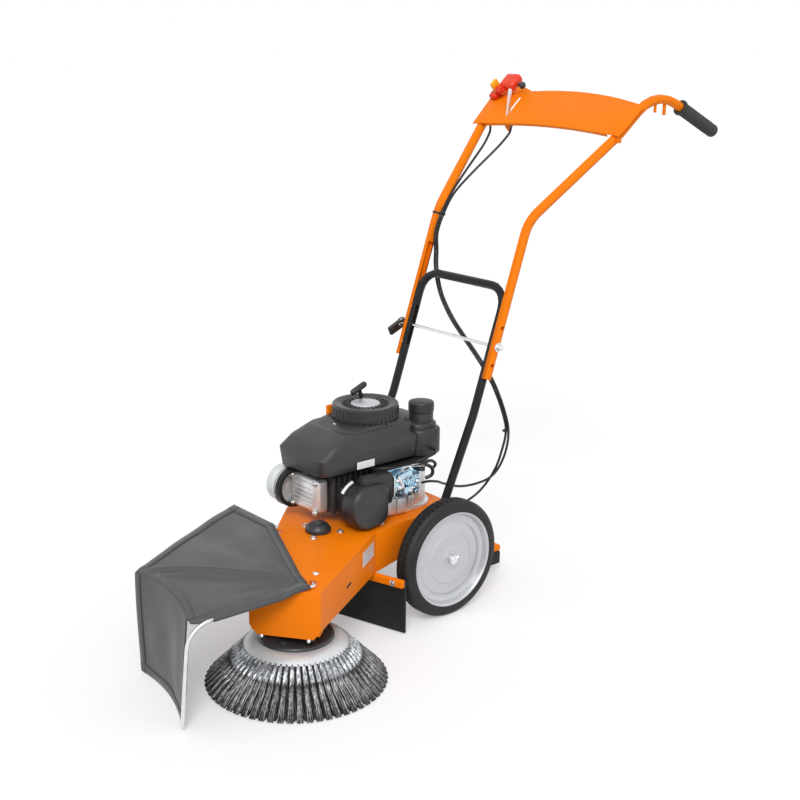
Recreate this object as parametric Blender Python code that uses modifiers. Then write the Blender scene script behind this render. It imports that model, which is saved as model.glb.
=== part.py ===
# Walk-behind weed brush machine: a petrol engine on a folded steel chassis drives a
# twisted-wire brush through a belt, two wheels carry it, and a height-adjustable handle steers it.
# Metres, +Z up. +Y points back to the operator, +X to the machine's left, ground at z = 0.

from math import acos, atan2, cos, pi, radians, sin, tan

import bmesh
import bpy
from mathutils import Matrix, Vector

# Clearances
SEAT_GAP = 0.0003
RUNNING_GAP = 0.0005

# Wheels and axle, in a frame whose X = 0 is the machine's middle and Y = 0 the axle
WHEEL_R = 0.140
TYRE_W = 0.048
TYRE_SHOULDER = 0.010
RIM_R = 0.112
RIM_BED = 0.011
RIM_SHEET = 0.003
TRACK = 0.370
HUB_R = 0.020
HUB_INNER = 0.024
HUB_OUTER = 0.016
HUB_NECK = 0.009
HUB_NECK_R = 0.012
AXLE_R = 0.008
AXLE_STUB = 0.012
WHEEL_STEPS = 24

# Chassis: a folded sheet whose deck narrows into an arm that reaches the brush
SHEET = 0.003
DECK_Z = 0.235
DECK_REAR_Y = 0.078
DECK_FRAME_GAP = 0.0075
DECK_FLARE = 0.020
ARM_LEFT_Y = -0.181
ARM_RIGHT = (-0.095, -0.255)
ARM_RIGHT_Y = -0.200
WALL_REAR_Z = 0.178
WALL_LOW_Z = 0.1355
WALL_NOSE_Z = 0.150
REAR_LIP_Z = 0.205
ARM_TURN = radians(-53.4)
NOSE_WIDTH = 0.152
NOSE_REACH = 0.074
NOSE_LOW_Z = 0.130
NOSE_CHAMFER = 0.016
AXLE_BRACKET_T = 0.005
AXLE_BRACKET_W = 0.060

# Brush and its spindle
BRUSH_X = 0.230
BRUSH_Y = -0.462
BRUSH_R = 0.190
KNOTS = 60
KNOT_ROOT_R = 0.128
KNOT_ROOT_Z = 0.0802
KNOT_THICK = 0.011
KNOT_BACKING = 0.014
KNOT_SLOPE = radians(52.5)
STRAND_TAPER = 0.78
KNOT_SPREAD = 1.25
DISH_SHEET = 0.0025
CARRIER_R = 0.090
CARRIER_Z = 0.100
CARRIER_T = 0.008
SPINDLE_R = 0.012
BRUSH_NUT_R = 0.021
BRUSH_NUT_T = 0.020
BRUSH_WASHER_R = 0.032
HOUSING_R = 0.046
BEARING_PLATE_Z = 0.1375
BEARING_PLATE_T = 0.005

# Belt drive under the deck
CRANK_Y = -0.094
CRANK_R = 0.011
ENGINE_PULLEY_R = 0.030
BRUSH_PULLEY_R = 0.060
PULLEY_T = 0.014
BELT_T = 0.008
BELT_H = 0.009
BELT_Z = 0.186
BORE_IN_DECK_R = 0.034

# Belt tensioner: an arm under the deck whose pin turns in the deck, below a domed cap
PIVOT = (0.063, -0.279)
PIVOT_R = 0.006
PIVOT_CAP_R = 0.029
PIVOT_CAP_H = 0.022
PIVOT_CAP_FLAT = 0.008
TENSIONER_W = 0.024
TENSIONER_T = 0.005
TENSIONER_Z = 0.2215
TENSIONER_TAIL = 0.030
IDLER_ALONG = 0.250
IDLER_R = 0.014
IDLER_H = 0.016
IDLER_TRAVEL = 0.006

# Lower push frame, a bent tube
FRAME_HALF = 0.144
FRAME_TUBE_R = 0.0105
FRAME_SLOPE = radians(71.3)
FRAME_KNEE_Y = 0.1118
FRAME_KNEE_Z = 0.450
FRAME_KNEE_R = 0.150
FRAME_LOW_SLOPE = radians(66.3)
FRAME_LOW_Z = 0.160
FRAME_TOP_Z = 0.740
FRAME_BEND_R = 0.050
ADJUST_TRAVEL = 0.045
SLOT_WIDTH = 0.0105

# Handle: two bent tubes, a panel between them and rubber grips
HANDLE_TUBE_R = 0.0115
HANDLE_OUTBOARD = 0.0105
HANDLE_LOW_Z = 0.536
HANDLE_BEND_Z = 0.8925
HANDLE_UPPER_SLOPE = radians(41.7)
HANDLE_BEND_R = 0.110
HANDLE_SPREAD_S = 0.287
HANDLE_SPREAD_X = 0.2285
HANDLE_SPREAD_R = 0.150
HANDLE_TOP_X = 0.2378
HANDLE_TOP_S = 0.4377
HANDLE_TOP_R = 0.135
PANEL_HALF = 0.248
PANEL_LOW_S = 0.270
PANEL_LOW_RISE = 0.018
PANEL_TOP_S = 0.371
PANEL_TOP_RISE = 0.033
PANEL_T = 0.0025
PANEL_FLANGE = 0.006
PANEL_FLANGE_HALF = 0.212
GRIP_AFTER_BEND = 0.0941
GRIP_RUN = (0.011, 0.122, -0.0622)
GRIP_LENGTH = 0.137
GRIP_R = 0.0165
GRIP_RIB = 0.0018
GRIP_RIBS = 6
GRIP_END_WALL = 0.010

# Places that follow from the tubes: the deck sits between the frame's legs, and the grips follow the handle's bends
DECK_REAR_HALF = FRAME_HALF - FRAME_TUBE_R - DECK_FRAME_GAP
DECK_FRONT_HALF = DECK_REAR_HALF + DECK_FLARE
HANDLE_X = FRAME_HALF + HANDLE_OUTBOARD
HANDLE_BEND_Y = FRAME_KNEE_Y + (HANDLE_BEND_Z - FRAME_KNEE_Z) / tan(FRAME_SLOPE)
HANDLE_TOP = (HANDLE_TOP_X, HANDLE_BEND_Y + HANDLE_TOP_S * cos(HANDLE_UPPER_SLOPE),
              HANDLE_BEND_Z + HANDLE_TOP_S * sin(HANDLE_UPPER_SLOPE))
GRIP_START = tuple(Vector(HANDLE_TOP) + Vector(GRIP_RUN).normalized() * GRIP_AFTER_BEND)

# Height clamp through the handle and the frame
CLAMP_Z = 0.610
CLAMP_ROD_R = 0.004
CLAMP_HOLE_R = 0.0055
CLAMP_NUT_R = 0.009
CLAMP_NUT_T = 0.008
CAM_LENGTH = 0.046
CAM_R = 0.009
CAM_WIDTH = 0.019
CAM_SLOT = 0.0095
CAM_PIN_R = 0.003
CAM_LEAN = (0, -0.908, -0.419)

# Engine
CRANKCASE_HALF = 0.098
CRANKCASE_Y = (-0.130, 0.052)
CRANKCASE_TOP = 0.352
CYLINDER_FRONT = -0.232
CYLINDER_HALF = 0.058
CYLINDER_Z = (0.262, 0.348)
ROCKER_T = 0.036
SHROUD_BASE_Z = 0.3525
SHROUD_CREASE_Z = 0.400
SHROUD_TOP_Z = 0.457
SHROUD_HALF = 0.089
SHROUD_FRONT = -0.286
SHROUD_REAR = 0.000
SHROUD_SHEET = 0.003
SHROUD_RINGS = (
    (SHROUD_BASE_Z, 0.084, -0.281, -0.002, 0.022),
    (SHROUD_CREASE_Z, SHROUD_HALF, SHROUD_FRONT, SHROUD_REAR - 0.0003, 0.024),
    (0.425, 0.087, -0.260, -0.001, 0.030),
    (0.445, 0.083, -0.215, -0.004, 0.038),
    (SHROUD_TOP_Z, 0.077, -0.168, -0.012, 0.046),
)
STARTER_R = 0.0775
STARTER_TOP = 0.4885
FAN_R = 0.066
FAN_Z = (0.372, 0.398)
FAN_BLADES = 14
PULL_AT = (-0.050, -0.0745, 0.5065)
PULL_LEAN = (0, 0.921, 0.389)
PULL_LENGTH = 0.049
PULL_R = 0.0075
PULL_STEM_R = 0.005
PULL_STEM = 0.024
TANK_REAR = 0.072
TANK_HALF = 0.080
TANK_BASE_Z = 0.3525
TANK_TOP_Z = 0.418
NECK = (0.040, 0.042)
NECK_R = 0.029
CAP_R = 0.030
CAP_T = 0.026
CAP_TOP = 0.477
FILTER_X = (0.0985, 0.140)
FILTER_Y = -0.190
FILTER_Z = 0.2895
FILTER_R = 0.052
FILTER_REAR = -0.132
CARB_X = (0.0985, 0.126)
CARB_Y = (-0.131, -0.014)
CARB_Z = (0.268, 0.345)
MUFFLER = (-0.0815, -0.262, 0.305)
MUFFLER_R = 0.0445
MUFFLER_HALF = 0.0215
MUFFLER_BAND = (0.008, 0.016)
PORT_Y = (-0.2315, -0.2215)

# Guard in front of the brush: cloth on two bent rods, hinged on the arm
HOOK_RIGHT = (-0.004, -0.344)
HOOK_LEFT = (0.308, -0.469)
HOOK_Z = 0.2393
GUARD_ROD_R = 0.004
GUARD_SHEET = 0.002
HOOK_LENGTH = 0.030
GUARD_REAR = ((-0.168, -0.350, 0.2465), (-0.0066, -0.3505, 0.2475), (0.244, -0.459, 0.2395), (0.284, -0.471, 0.2395))
GUARD_CREASE = ((-0.004, -0.702, 0.227), (0.2655, -0.742, 0.230))
GUARD_FOOT = ((0.000, -0.700, 0.004), (0.2575, -0.757, 0.004))
GUARD_BOW = 0.020
GUARD_RIDGE = 0.005
GUARD_COLUMNS = 10
GUARD_ROWS = 7
GUARD_SKIRT_ROWS = 5
GUARD_NEAR_ROD = ((0.303, -0.514, 0.2405), (0.298, -0.545, 0.231), (0.2755, -0.746, 0.2205), (0.269, -0.763, 0.012))
GUARD_FAR_ROD = ((-0.168, -0.347, 0.2407), (0.000, -0.693, 0.2212), (0.004, -0.692, 0.012))
GUARD_ROD_BEND = 0.022

# Rubber flap ahead of the wheels and the tread behind them
FLAP_MID = (0.067, -0.206)
FLAP_SKEW = radians(17.0)
FLAP_WIDTH = 0.318
FLAP_TOP_Z = 0.135
FLAP_BAR_H = 0.019
FLAP_BAR_T = 0.012
FLAP_TUCK = 0.014
FLAP_T = 0.006
FLAP_LOW_Z = 0.004
TREAD_Y = (0.222, 0.262)
TREAD_Z = (0.060, 0.076)
TREAD_HALF = 0.100
TREAD_PAD_Z = 0.026
TREAD_ARM_X = 0.085
TREAD_ARM_T = 0.006

# Cables from the handle, along the frame, down to the carburettor and the belt tensioner
CABLE_R = 0.003
CLUTCH_ROUTE = (
    (-0.204, 0.4712, 1.0932), (-0.204, 0.4794, 1.0839), (-0.203, 0.474, 1.063), (-HANDLE_X * 0.22 - 0.158, 0.4416, 1.0287),
    (-HANDLE_X * 0.53 - 0.0921, 0.370, 0.975), (-HANDLE_X * 0.79 - 0.035, 0.313, 0.926),
    (-HANDLE_X + 0.0165, 0.265, 0.880), (-HANDLE_X + 0.0165, 0.239, 0.834), (-HANDLE_X + 0.0167, 0.233, 0.792),
    (-HANDLE_X + 0.0215, 0.230, 0.744),
    (-0.097, 0.214, 0.689), (-0.049, 0.206, 0.639), (-0.003, 0.208, 0.596), (0.040, 0.213, 0.555),
    (0.070, 0.219, 0.520), (0.085, 0.232, 0.484), (0.095, 0.252, 0.427), (0.100, 0.263, 0.376),
    (0.100, 0.255, 0.329), (0.090, 0.240, 0.274), (0.074, 0.205, 0.222), (0.062, 0.150, 0.196),
    (0.055, 0.082, 0.191), (0.053, 0.020, 0.198), (0.053, -0.060, 0.213), (0.054, -0.140, 0.220),
    (0.055, -0.200, 0.2215), (0.0555, -0.233, 0.2215),
)
THROTTLE_ROUTE = (
    (-0.131, 0.4727, 1.0945), (-0.131, 0.4809, 1.0853), (-0.132, 0.4755, 1.0643), (-HANDLE_X * 0.22 - 0.105, 0.4416, 1.0287),
    (-HANDLE_X * 0.53 - 0.0701, 0.376, 0.968), (-HANDLE_X * 0.79 - 0.023, 0.319, 0.922),
    (-HANDLE_X + 0.0245, 0.273, 0.876), (-HANDLE_X + 0.0245, 0.246, 0.832), (-HANDLE_X + 0.0247, 0.240, 0.790),
    (-HANDLE_X + 0.0295, 0.237, 0.744),
    (-0.088, 0.221, 0.691), (-0.041, 0.213, 0.643), (0.005, 0.215, 0.600), (0.047, 0.220, 0.559),
    (0.077, 0.226, 0.524), (0.092, 0.239, 0.486), (0.102, 0.259, 0.427), (0.107, 0.270, 0.376),
    (0.109, 0.258, 0.329), (0.104, 0.238, 0.288), (0.090, 0.188, 0.266), (0.083, 0.130, 0.267),
    (0.088, 0.068, 0.284), (0.105, 0.040, 0.294), (0.109, 0.010, 0.302), (0.110, -0.0135, 0.304),
)
HOSE_ROUTE = (
    (0.0806, 0.030, 0.374), (0.104, 0.030, 0.374), (0.118, 0.018, 0.372), (0.121, -0.008, 0.368),
    (0.115, -0.031, 0.361), (0.113, -0.036, 0.353), (0.113, -0.036, 0.3455),
)
HOSE_R = 0.0035

# Controls on the panel: across it, up it from the tubes' bend, and away from it
BRACKET_X = (-0.252, -0.196)
BRACKET_S = (0.347, 0.382)
BRACKET_TOP = 0.026
EAR_X = (-0.2272, -0.1962)
EAR_T = 0.005
CLUTCH_S = 0.372
CLUTCH_OFF = 0.036
CLUTCH_PIN_R = 0.0035
CLUTCH_HUB_R = 0.009
PADDLE_RIGHT = -0.168
KNOB_X = -0.156
KNOB_R = 0.008
BLOCK_X = (-0.2515, -0.2285)
BLOCK_S = (0.358, 0.398)
BLOCK_TOP = 0.049
THROTTLE_X = -0.152
THROTTLE_S = 0.293
THROTTLE_OFF = -0.012
THROTTLE_LENGTH = 0.094
THROTTLE_LEAN = radians(45)
THROTTLE_SLOT = (0.306, 0.372)
THROTTLE_SLOT_W = 0.008

ORANGE = (0.85, 0.26, 0.02)
BLACK_PAINT = (0.03, 0.03, 0.032)
DARK_PLASTIC = (0.055, 0.057, 0.06)
RUBBER = (0.025, 0.025, 0.026)
STEEL = (0.55, 0.56, 0.58)
SILVER = (0.62, 0.64, 0.66)
TARPAULIN = (0.10, 0.105, 0.11)
RED = (0.75, 0.05, 0.03)
YELLOW = (0.85, 0.55, 0.03)

X_AXIS = Vector((1, 0, 0))
Y_AXIS = Vector((0, 1, 0))
Z_AXIS = Vector((0, 0, 1))


def clearScene():
    for old in list(bpy.data.objects):
        bpy.data.objects.remove(old, do_unlink=True)


clearScene()
PARTS = bpy.data.collections.new("weed_brush_machine")
CUTTERS = bpy.data.collections.new("cutters")
bpy.context.scene.collection.children.link(PARTS)
bpy.context.scene.collection.children.link(CUTTERS)

# The machine's middle is at X = 0 here; the empty moves the origin under the middle of its box.
BOX_X = (-(GRIP_START[0] + GRIP_RUN[0] + GRIP_R), BRUSH_X + BRUSH_R)
BOX_Y = (GUARD_NEAR_ROD[-1][1] - GUARD_ROD_R, GRIP_START[1] + GRIP_RUN[1] + 0.0063)
MACHINE = bpy.data.objects.new("machine", None)
MACHINE.location = (-sum(BOX_X) / 2, -sum(BOX_Y) / 2, 0)
PARTS.objects.link(MACHINE)


def material(name, color, roughness, metallic=0.0):
    made = bpy.data.materials.new(name)
    made.use_nodes = True
    shader = made.node_tree.nodes["Principled BSDF"]
    shader.inputs["Base Color"].default_value = (*color, 1)
    shader.inputs["Roughness"].default_value = roughness
    shader.inputs["Metallic"].default_value = metallic
    return made


PAINT = material("orange_paint", ORANGE, 0.35)
BLACK = material("black_paint", BLACK_PAINT, 0.4)
PLASTIC = material("dark_plastic", DARK_PLASTIC, 0.5)
GUM = material("rubber", RUBBER, 0.8)
ZINC = material("bright_steel", STEEL, 0.35, 1.0)
CAST = material("cast_aluminium", SILVER, 0.5, 1.0)
CLOTH = material("tarpaulin", TARPAULIN, 0.6)
RED_PLASTIC = material("red_plastic", RED, 0.4)
YELLOW_PLASTIC = material("yellow_plastic", YELLOW, 0.4)


# Shared shapes

def place(obj, finish, location=(0, 0, 0), direction=Z_AXIS):
    obj.location = location
    obj.rotation_mode = "QUATERNION"
    obj.rotation_quaternion = Z_AXIS.rotation_difference(Vector(direction))
    obj.parent = MACHINE
    if finish:
        obj.data.materials.append(finish)
        PARTS.objects.link(obj)
    else:
        CUTTERS.objects.link(obj)
        obj.hide_render = True
        obj.display_type = "WIRE"
    return obj


def fromBmesh(name, work, finish, location=(0, 0, 0), direction=Z_AXIS):
    mesh = bpy.data.meshes.new(name)
    work.to_mesh(mesh)
    work.free()
    mesh.shade_smooth()
    mesh.set_sharp_from_angle(angle=radians(35))
    return place(bpy.data.objects.new(name, mesh), finish, location, direction)


def box(name, low, high, finish, bevel=0.0, segments=1):
    work = bmesh.new()
    bmesh.ops.create_cube(work, size=1)
    low = Vector(low)
    high = Vector(high)
    middle = (low + high) / 2
    bmesh.ops.scale(work, vec=high - low, verts=work.verts)
    if bevel:
        bmesh.ops.bevel(work, geom=work.edges[:], offset=bevel, segments=segments, profile=0.5,
                        affect="EDGES", material=-1)
    return fromBmesh(name, work, finish, middle)


def cylinder(name, radius, length, finish, location, direction=Z_AXIS, segments=20):
    """A rod centred on its location."""
    work = bmesh.new()
    bmesh.ops.create_cone(work, cap_ends=True, segments=segments, radius1=radius, radius2=radius, depth=length)
    return fromBmesh(name, work, finish, location, direction)


def turned(name, profile, finish, location, direction=Z_AXIS, steps=28, closed=True):
    """Turns (radius, height) points about the axis. The outer side runs downwards."""
    work = bmesh.new()
    points = [work.verts.new((r, 0, z)) for r, z in profile]
    for a, b in zip(points, points[1:]):
        work.edges.new((a, b))
    if closed:
        work.edges.new((points[-1], points[0]))
    obj = fromBmesh(name, work, finish, location, direction)
    screw = obj.modifiers.new("turn", "SCREW")
    screw.axis = "Z"
    screw.angle = 2 * pi
    screw.steps = steps
    screw.render_steps = steps
    screw.use_merge_vertices = True
    screw.merge_threshold = 0.0001
    return obj


def rounded(points, radius, steps, closed=False):
    """The same route with an arc at each corner."""
    points = [Vector(p) for p in points]
    count = len(points)
    radii = radius if isinstance(radius, (list, tuple)) else [radius] * count
    route = []
    for i, corner in enumerate(points):
        if not closed and i in (0, count - 1) or radii[i] == 0:
            route.append(corner)
            continue
        back = points[i - 1] - corner
        ahead = points[(i + 1) % count] - corner
        angle = back.angle(ahead)
        reach = min(radii[i] / tan(angle / 2), 0.49 * back.length, 0.49 * ahead.length)
        centre = corner + (back.normalized() + ahead.normalized()).normalized() * reach / cos(angle / 2)
        start = corner + back.normalized() * reach - centre
        end = corner + ahead.normalized() * reach - centre
        for k in range(steps + 1):
            route.append(centre + start.normalized().slerp(end.normalized(), k / steps) * start.length)
    return route


def tube(name, route, radius, finish, resolution=2):
    curve = bpy.data.curves.new(name, "CURVE")
    curve.dimensions = "3D"
    curve.bevel_depth = radius
    curve.bevel_resolution = resolution
    curve.use_fill_caps = True
    line = curve.splines.new("POLY")
    line.points.add(len(route) - 1)
    for point, at in zip(line.points, route):
        point.co = (*at, 1)
    return place(bpy.data.objects.new(name, curve), finish)


def plate(name, outline, thickness, finish, location=(0, 0, 0), matrix=None, holes=()):
    """A flat outline, thickness shared to both sides of its plane."""
    curve = bpy.data.curves.new(name, "CURVE")
    curve.dimensions = "2D"
    curve.fill_mode = "BOTH"
    curve.extrude = thickness / 2
    for loop in (outline, *holes):
        line = curve.splines.new("POLY")
        line.points.add(len(loop) - 1)
        for point, at in zip(line.points, loop):
            point.co = (at[0], at[1], 0, 1)
        line.use_cyclic_u = True
    obj = place(bpy.data.objects.new(name, curve), finish, location)
    if matrix:
        obj.rotation_quaternion = matrix.to_quaternion()
    return obj


def circle(radius, count=16, centre=(0, 0)):
    return [(centre[0] + radius * cos(2 * pi * k / count), centre[1] + radius * sin(2 * pi * k / count))
            for k in range(count)]


def loft(name, rings, finish, caps=(True, True), sheet=0.0):
    """Closed rings of equal count joined one to the next, as a solid or as a sheet."""
    work = bmesh.new()
    loops = [[work.verts.new(p) for p in ring] for ring in rings]
    count = len(loops[0])
    for low, high in zip(loops, loops[1:]):
        for k in range(count):
            work.faces.new((low[k], low[(k + 1) % count], high[(k + 1) % count], high[k]))
    if caps[0]:
        work.faces.new(loops[0][::-1])
    if caps[1]:
        work.faces.new(loops[-1])
    bmesh.ops.recalc_face_normals(work, faces=work.faces[:])
    obj = fromBmesh(name, work, finish)
    if sheet:
        solid = obj.modifiers.new("sheet", "SOLIDIFY")
        solid.thickness = sheet
        solid.offset = -1
        solid.use_even_offset = True
    return obj


def meshed(obj):
    """The object as a mesh with its modifiers applied, for cutting."""
    bpy.context.view_layer.update()
    graph = bpy.context.evaluated_depsgraph_get()
    mesh = bpy.data.meshes.new_from_object(obj.evaluated_get(graph))
    work = bmesh.new()
    work.from_mesh(mesh)
    bmesh.ops.remove_doubles(work, verts=work.verts[:], dist=1e-6)
    bmesh.ops.recalc_face_normals(work, faces=work.faces[:])
    work.to_mesh(mesh)
    work.free()
    mesh.shade_smooth()
    mesh.set_sharp_from_angle(angle=radians(35))
    name = obj.name
    made = bpy.data.objects.new(name, mesh)
    made.location = obj.location
    made.rotation_mode = "QUATERNION"
    made.rotation_quaternion = obj.rotation_quaternion
    made.parent = MACHINE
    collection = obj.users_collection[0]
    collection.objects.link(made)
    if collection == CUTTERS:
        made.hide_render = True
        made.display_type = "WIRE"
    bpy.data.objects.remove(obj, do_unlink=True)
    made.name = name
    return made


def boolean(obj, other, operation):
    change = obj.modifiers.new(operation.lower(), "BOOLEAN")
    change.operation = operation
    change.object = other
    change.solver = "EXACT"
    return obj


def frameY(z):
    """Where the push frame's legs are at a height, above or below their knee."""
    slope = FRAME_SLOPE if z > FRAME_KNEE_Z else FRAME_LOW_SLOPE
    return FRAME_KNEE_Y + (z - FRAME_KNEE_Z) / tan(slope)


# The arm's own directions: along it to the nose, and across it to the machine's left
SPINDLE = Vector((BRUSH_X, BRUSH_Y, 0))
CRANK = Vector((0, CRANK_Y, 0))
ARM = Vector((cos(ARM_TURN), sin(ARM_TURN), 0))
ACROSS = Vector((-ARM.y, ARM.x, 0))


# Chassis

def deckOutline():
    """The deck's corners and, at each, how low its wall reaches, anticlockwise seen from above."""
    nose = SPINDLE + ARM * NOSE_REACH
    left = nose + ACROSS * NOSE_WIDTH / 2
    right = nose - ACROSS * NOSE_WIDTH / 2
    return (
        ((-DECK_REAR_HALF, DECK_REAR_Y), WALL_REAR_Z),
        ((-DECK_FRONT_HALF + SHEET, ARM_RIGHT_Y), WALL_LOW_Z),
        (ARM_RIGHT, WALL_LOW_Z),
        (right.xy, WALL_NOSE_Z),
        ((right + ACROSS * NOSE_CHAMFER).xy, NOSE_LOW_Z),
        ((left - ACROSS * NOSE_CHAMFER).xy, NOSE_LOW_Z),
        (left.xy, WALL_NOSE_Z),
        ((DECK_FRONT_HALF, ARM_LEFT_Y), WALL_LOW_Z),
        ((DECK_REAR_HALF, DECK_REAR_Y), WALL_REAR_Z),
    )


def makeChassis():
    corners = deckOutline()
    work = bmesh.new()
    top = [work.verts.new((*xy, DECK_Z)) for xy, low in corners]
    low = [work.verts.new((*xy, z)) for xy, z in corners]
    work.faces.new(top)
    count = len(corners)
    lip = {k: work.verts.new((*corners[k][0], REAR_LIP_Z)) for k in (0, count - 1)}
    for k in range(count - 1):
        after = [lip[k + 1]] if k + 1 in lip else []
        before = [lip[k]] if k in lip else []
        work.faces.new([low[k], low[k + 1], *after, top[k + 1], top[k], *before])
    work.faces.new((lip[count - 1], lip[0], top[0], top[-1]))
    bmesh.ops.recalc_face_normals(work, faces=work.faces[:])
    chassis = fromBmesh("chassis", work, PAINT)
    sheet = chassis.modifiers.new("sheet", "SOLIDIFY")
    sheet.solidify_mode = "NON_MANIFOLD"
    sheet.nonmanifold_thickness_mode = "CONSTRAINTS"
    sheet.thickness = SHEET
    sheet.offset = -1
    boolean(chassis, cylinder("crank_bore", BORE_IN_DECK_R, 0.03, None, (0, CRANK_Y, DECK_Z)), "DIFFERENCE")
    pin = cylinder("pivot_bore", PIVOT_R + SEAT_GAP, 0.03, None, (*PIVOT, DECK_Z), segments=24)
    boolean(chassis, pin, "DIFFERENCE")


def makeAxleBrackets():
    inner = DECK_REAR_HALF - SHEET - SEAT_GAP - 0.004
    top = DECK_Z - SHEET - SEAT_GAP
    for side, name in ((1, "left"), (-1, "right")):
        half = AXLE_BRACKET_W / 2
        outline = rounded(((-half, top - WHEEL_R), (-half, -0.018), (half, -0.018), (half, top - WHEEL_R)),
                          [0, 0.016, 0.016, 0], 4, closed=True)
        turn = Matrix(((0, 0, 1), (1, 0, 0), (0, 1, 0)))
        hole = circle(AXLE_R + SEAT_GAP, 16)
        plate("axle_bracket_" + name, outline, AXLE_BRACKET_T, PAINT,
              (side * (inner - AXLE_BRACKET_T / 2), 0, WHEEL_R), turn, (hole,))


# Wheels

def makeWheel(side, name):
    at = (side * TRACK / 2, 0, WHEEL_R)
    half = TYRE_W / 2
    bead = half - 0.002
    tyre = ((RIM_R, bead), (RIM_R + 0.014, half), (WHEEL_R - 0.004, half - 0.004), (WHEEL_R, half - TYRE_SHOULDER),
            (WHEEL_R, -half + TYRE_SHOULDER), (WHEEL_R - 0.004, 0.004 - half), (RIM_R + 0.014, -half), (RIM_R, -bead))
    turned("tyre_" + name, tyre, GUM, at, X_AXIS * side, steps=WHEEL_STEPS)
    outer = RIM_R - SEAT_GAP
    bed = outer - RIM_BED
    bore = AXLE_R + RUNNING_GAP
    rim = ((outer, bead), (outer, -bead), (outer - 0.006, -bead), (bed, -RIM_SHEET), (0.052, 0.010 - RIM_SHEET),
           (HUB_R, 0.009 - RIM_SHEET), (HUB_R, -HUB_INNER), (bore, -HUB_INNER), (bore, HUB_OUTER + HUB_NECK),
           (HUB_NECK_R, HUB_OUTER + HUB_NECK), (HUB_NECK_R, HUB_OUTER), (HUB_R, HUB_OUTER), (0.054, 0.011), (bed, 0.002), (outer - 0.006, bead))
    turned("rim_" + name, rim, CAST, at, X_AXIS * side, steps=WHEEL_STEPS)


def makeAxle():
    length = TRACK + 2 * (HUB_OUTER + AXLE_STUB)
    cylinder("axle", AXLE_R, length, ZINC, (0, 0, WHEEL_R), X_AXIS, 16)


# Belt drive and brush

def beltLoop(engine, brush):
    """Both pulleys wrapped, each by its own radius."""
    span = (SPINDLE - CRANK).length
    turn = atan2(SPINDLE.y - CRANK.y, SPINDLE.x - CRANK.x)
    lean = acos((brush - engine) / span)
    points = []
    for centre, radius, start, end in ((SPINDLE, brush, -(pi - lean), pi - lean), (CRANK, engine, pi - lean, pi + lean)):
        steps = 20
        for k in range(steps + 1):
            a = turn + start + (end - start) * k / steps
            points.append((centre.x + radius * cos(a), centre.y + radius * sin(a)))
    return points


def pulley(name, radius, bore, finish, at):
    half = PULLEY_T / 2
    groove = radius - BELT_T
    profile = ((bore, half), (radius, half), (groove, half - 0.002), (groove, 0.002 - half), (radius, -half),
               (bore, -half))
    turned(name, profile, finish, at, steps=24)


def makeBeltDrive():
    at = Vector((0, 0, BELT_Z))
    pulley("engine_pulley", ENGINE_PULLEY_R, CRANK_R + SEAT_GAP, ZINC, CRANK + at)
    pulley("brush_pulley", BRUSH_PULLEY_R, SPINDLE_R + SEAT_GAP, ZINC, SPINDLE + at)
    inner = SEAT_GAP - BELT_T
    plate("drive_belt", beltLoop(ENGINE_PULLEY_R - 0.001, BRUSH_PULLEY_R - 0.001), BELT_H, GUM, at,
          holes=(beltLoop(ENGINE_PULLEY_R + inner, BRUSH_PULLEY_R + inner),))
    top = CRANKCASE_TOP + 0.070
    low = BELT_Z - PULLEY_T / 2 - 0.006
    cylinder("crankshaft", CRANK_R, top - low, ZINC, CRANK + Z_AXIS * (top + low) / 2, segments=16)


def idlerPlace():
    """Beside the belt's right run, with the travel that slackens it."""
    run = (SPINDLE - CRANK).normalized()
    side = Vector((-run.y, run.x, 0))
    share = IDLER_ALONG / (SPINDLE - CRANK).length
    belt = ENGINE_PULLEY_R + (BRUSH_PULLEY_R - ENGINE_PULLEY_R) * share
    return CRANK + run * IDLER_ALONG - side * (belt + IDLER_R + IDLER_TRAVEL)


def makeTensioner():
    pivot = Vector((*PIVOT, 0))
    idler = idlerPlace()
    reach = idler - pivot
    length = reach.length
    half = TENSIONER_W / 2
    outline = ([(half * cos(a) - TENSIONER_TAIL, half * sin(a)) for a in (pi / 2 + pi * k / 8 for k in range(9))]
               + [(length + half * cos(a), half * sin(a)) for a in (-pi / 2 + pi * k / 8 for k in range(9))])
    turn = Matrix.Rotation(atan2(reach.y, reach.x), 3, "Z")
    plate("tensioner_arm", outline, TENSIONER_T, ZINC, pivot + Z_AXIS * TENSIONER_Z, turn, (circle(PIVOT_R + SEAT_GAP, 12),))
    top = TENSIONER_Z - TENSIONER_T / 2 - SEAT_GAP
    wheel_top = BELT_Z + IDLER_H / 2
    profile = ((0, top), (0.007, top), (0.007, wheel_top), (IDLER_R, wheel_top), (IDLER_R, wheel_top - IDLER_H),
               (0, wheel_top - IDLER_H))
    turned("idler_pulley", profile, ZINC, idler, steps=20, closed=False)
    low = DECK_Z + SEAT_GAP
    rise = PIVOT_CAP_H - PIVOT_CAP_FLAT
    dome = [(PIVOT_CAP_R * sin(pi / 2 * k / 5), low + PIVOT_CAP_FLAT + rise * cos(pi / 2 * k / 5)) for k in range(6)]
    pin_low = TENSIONER_Z - TENSIONER_T / 2 - 0.002
    turned("pivot_cap", dome + [(PIVOT_CAP_R, low), (PIVOT_R, low), (PIVOT_R, pin_low), (0, pin_low)], PLASTIC, pivot,
           steps=16, closed=False)


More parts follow.
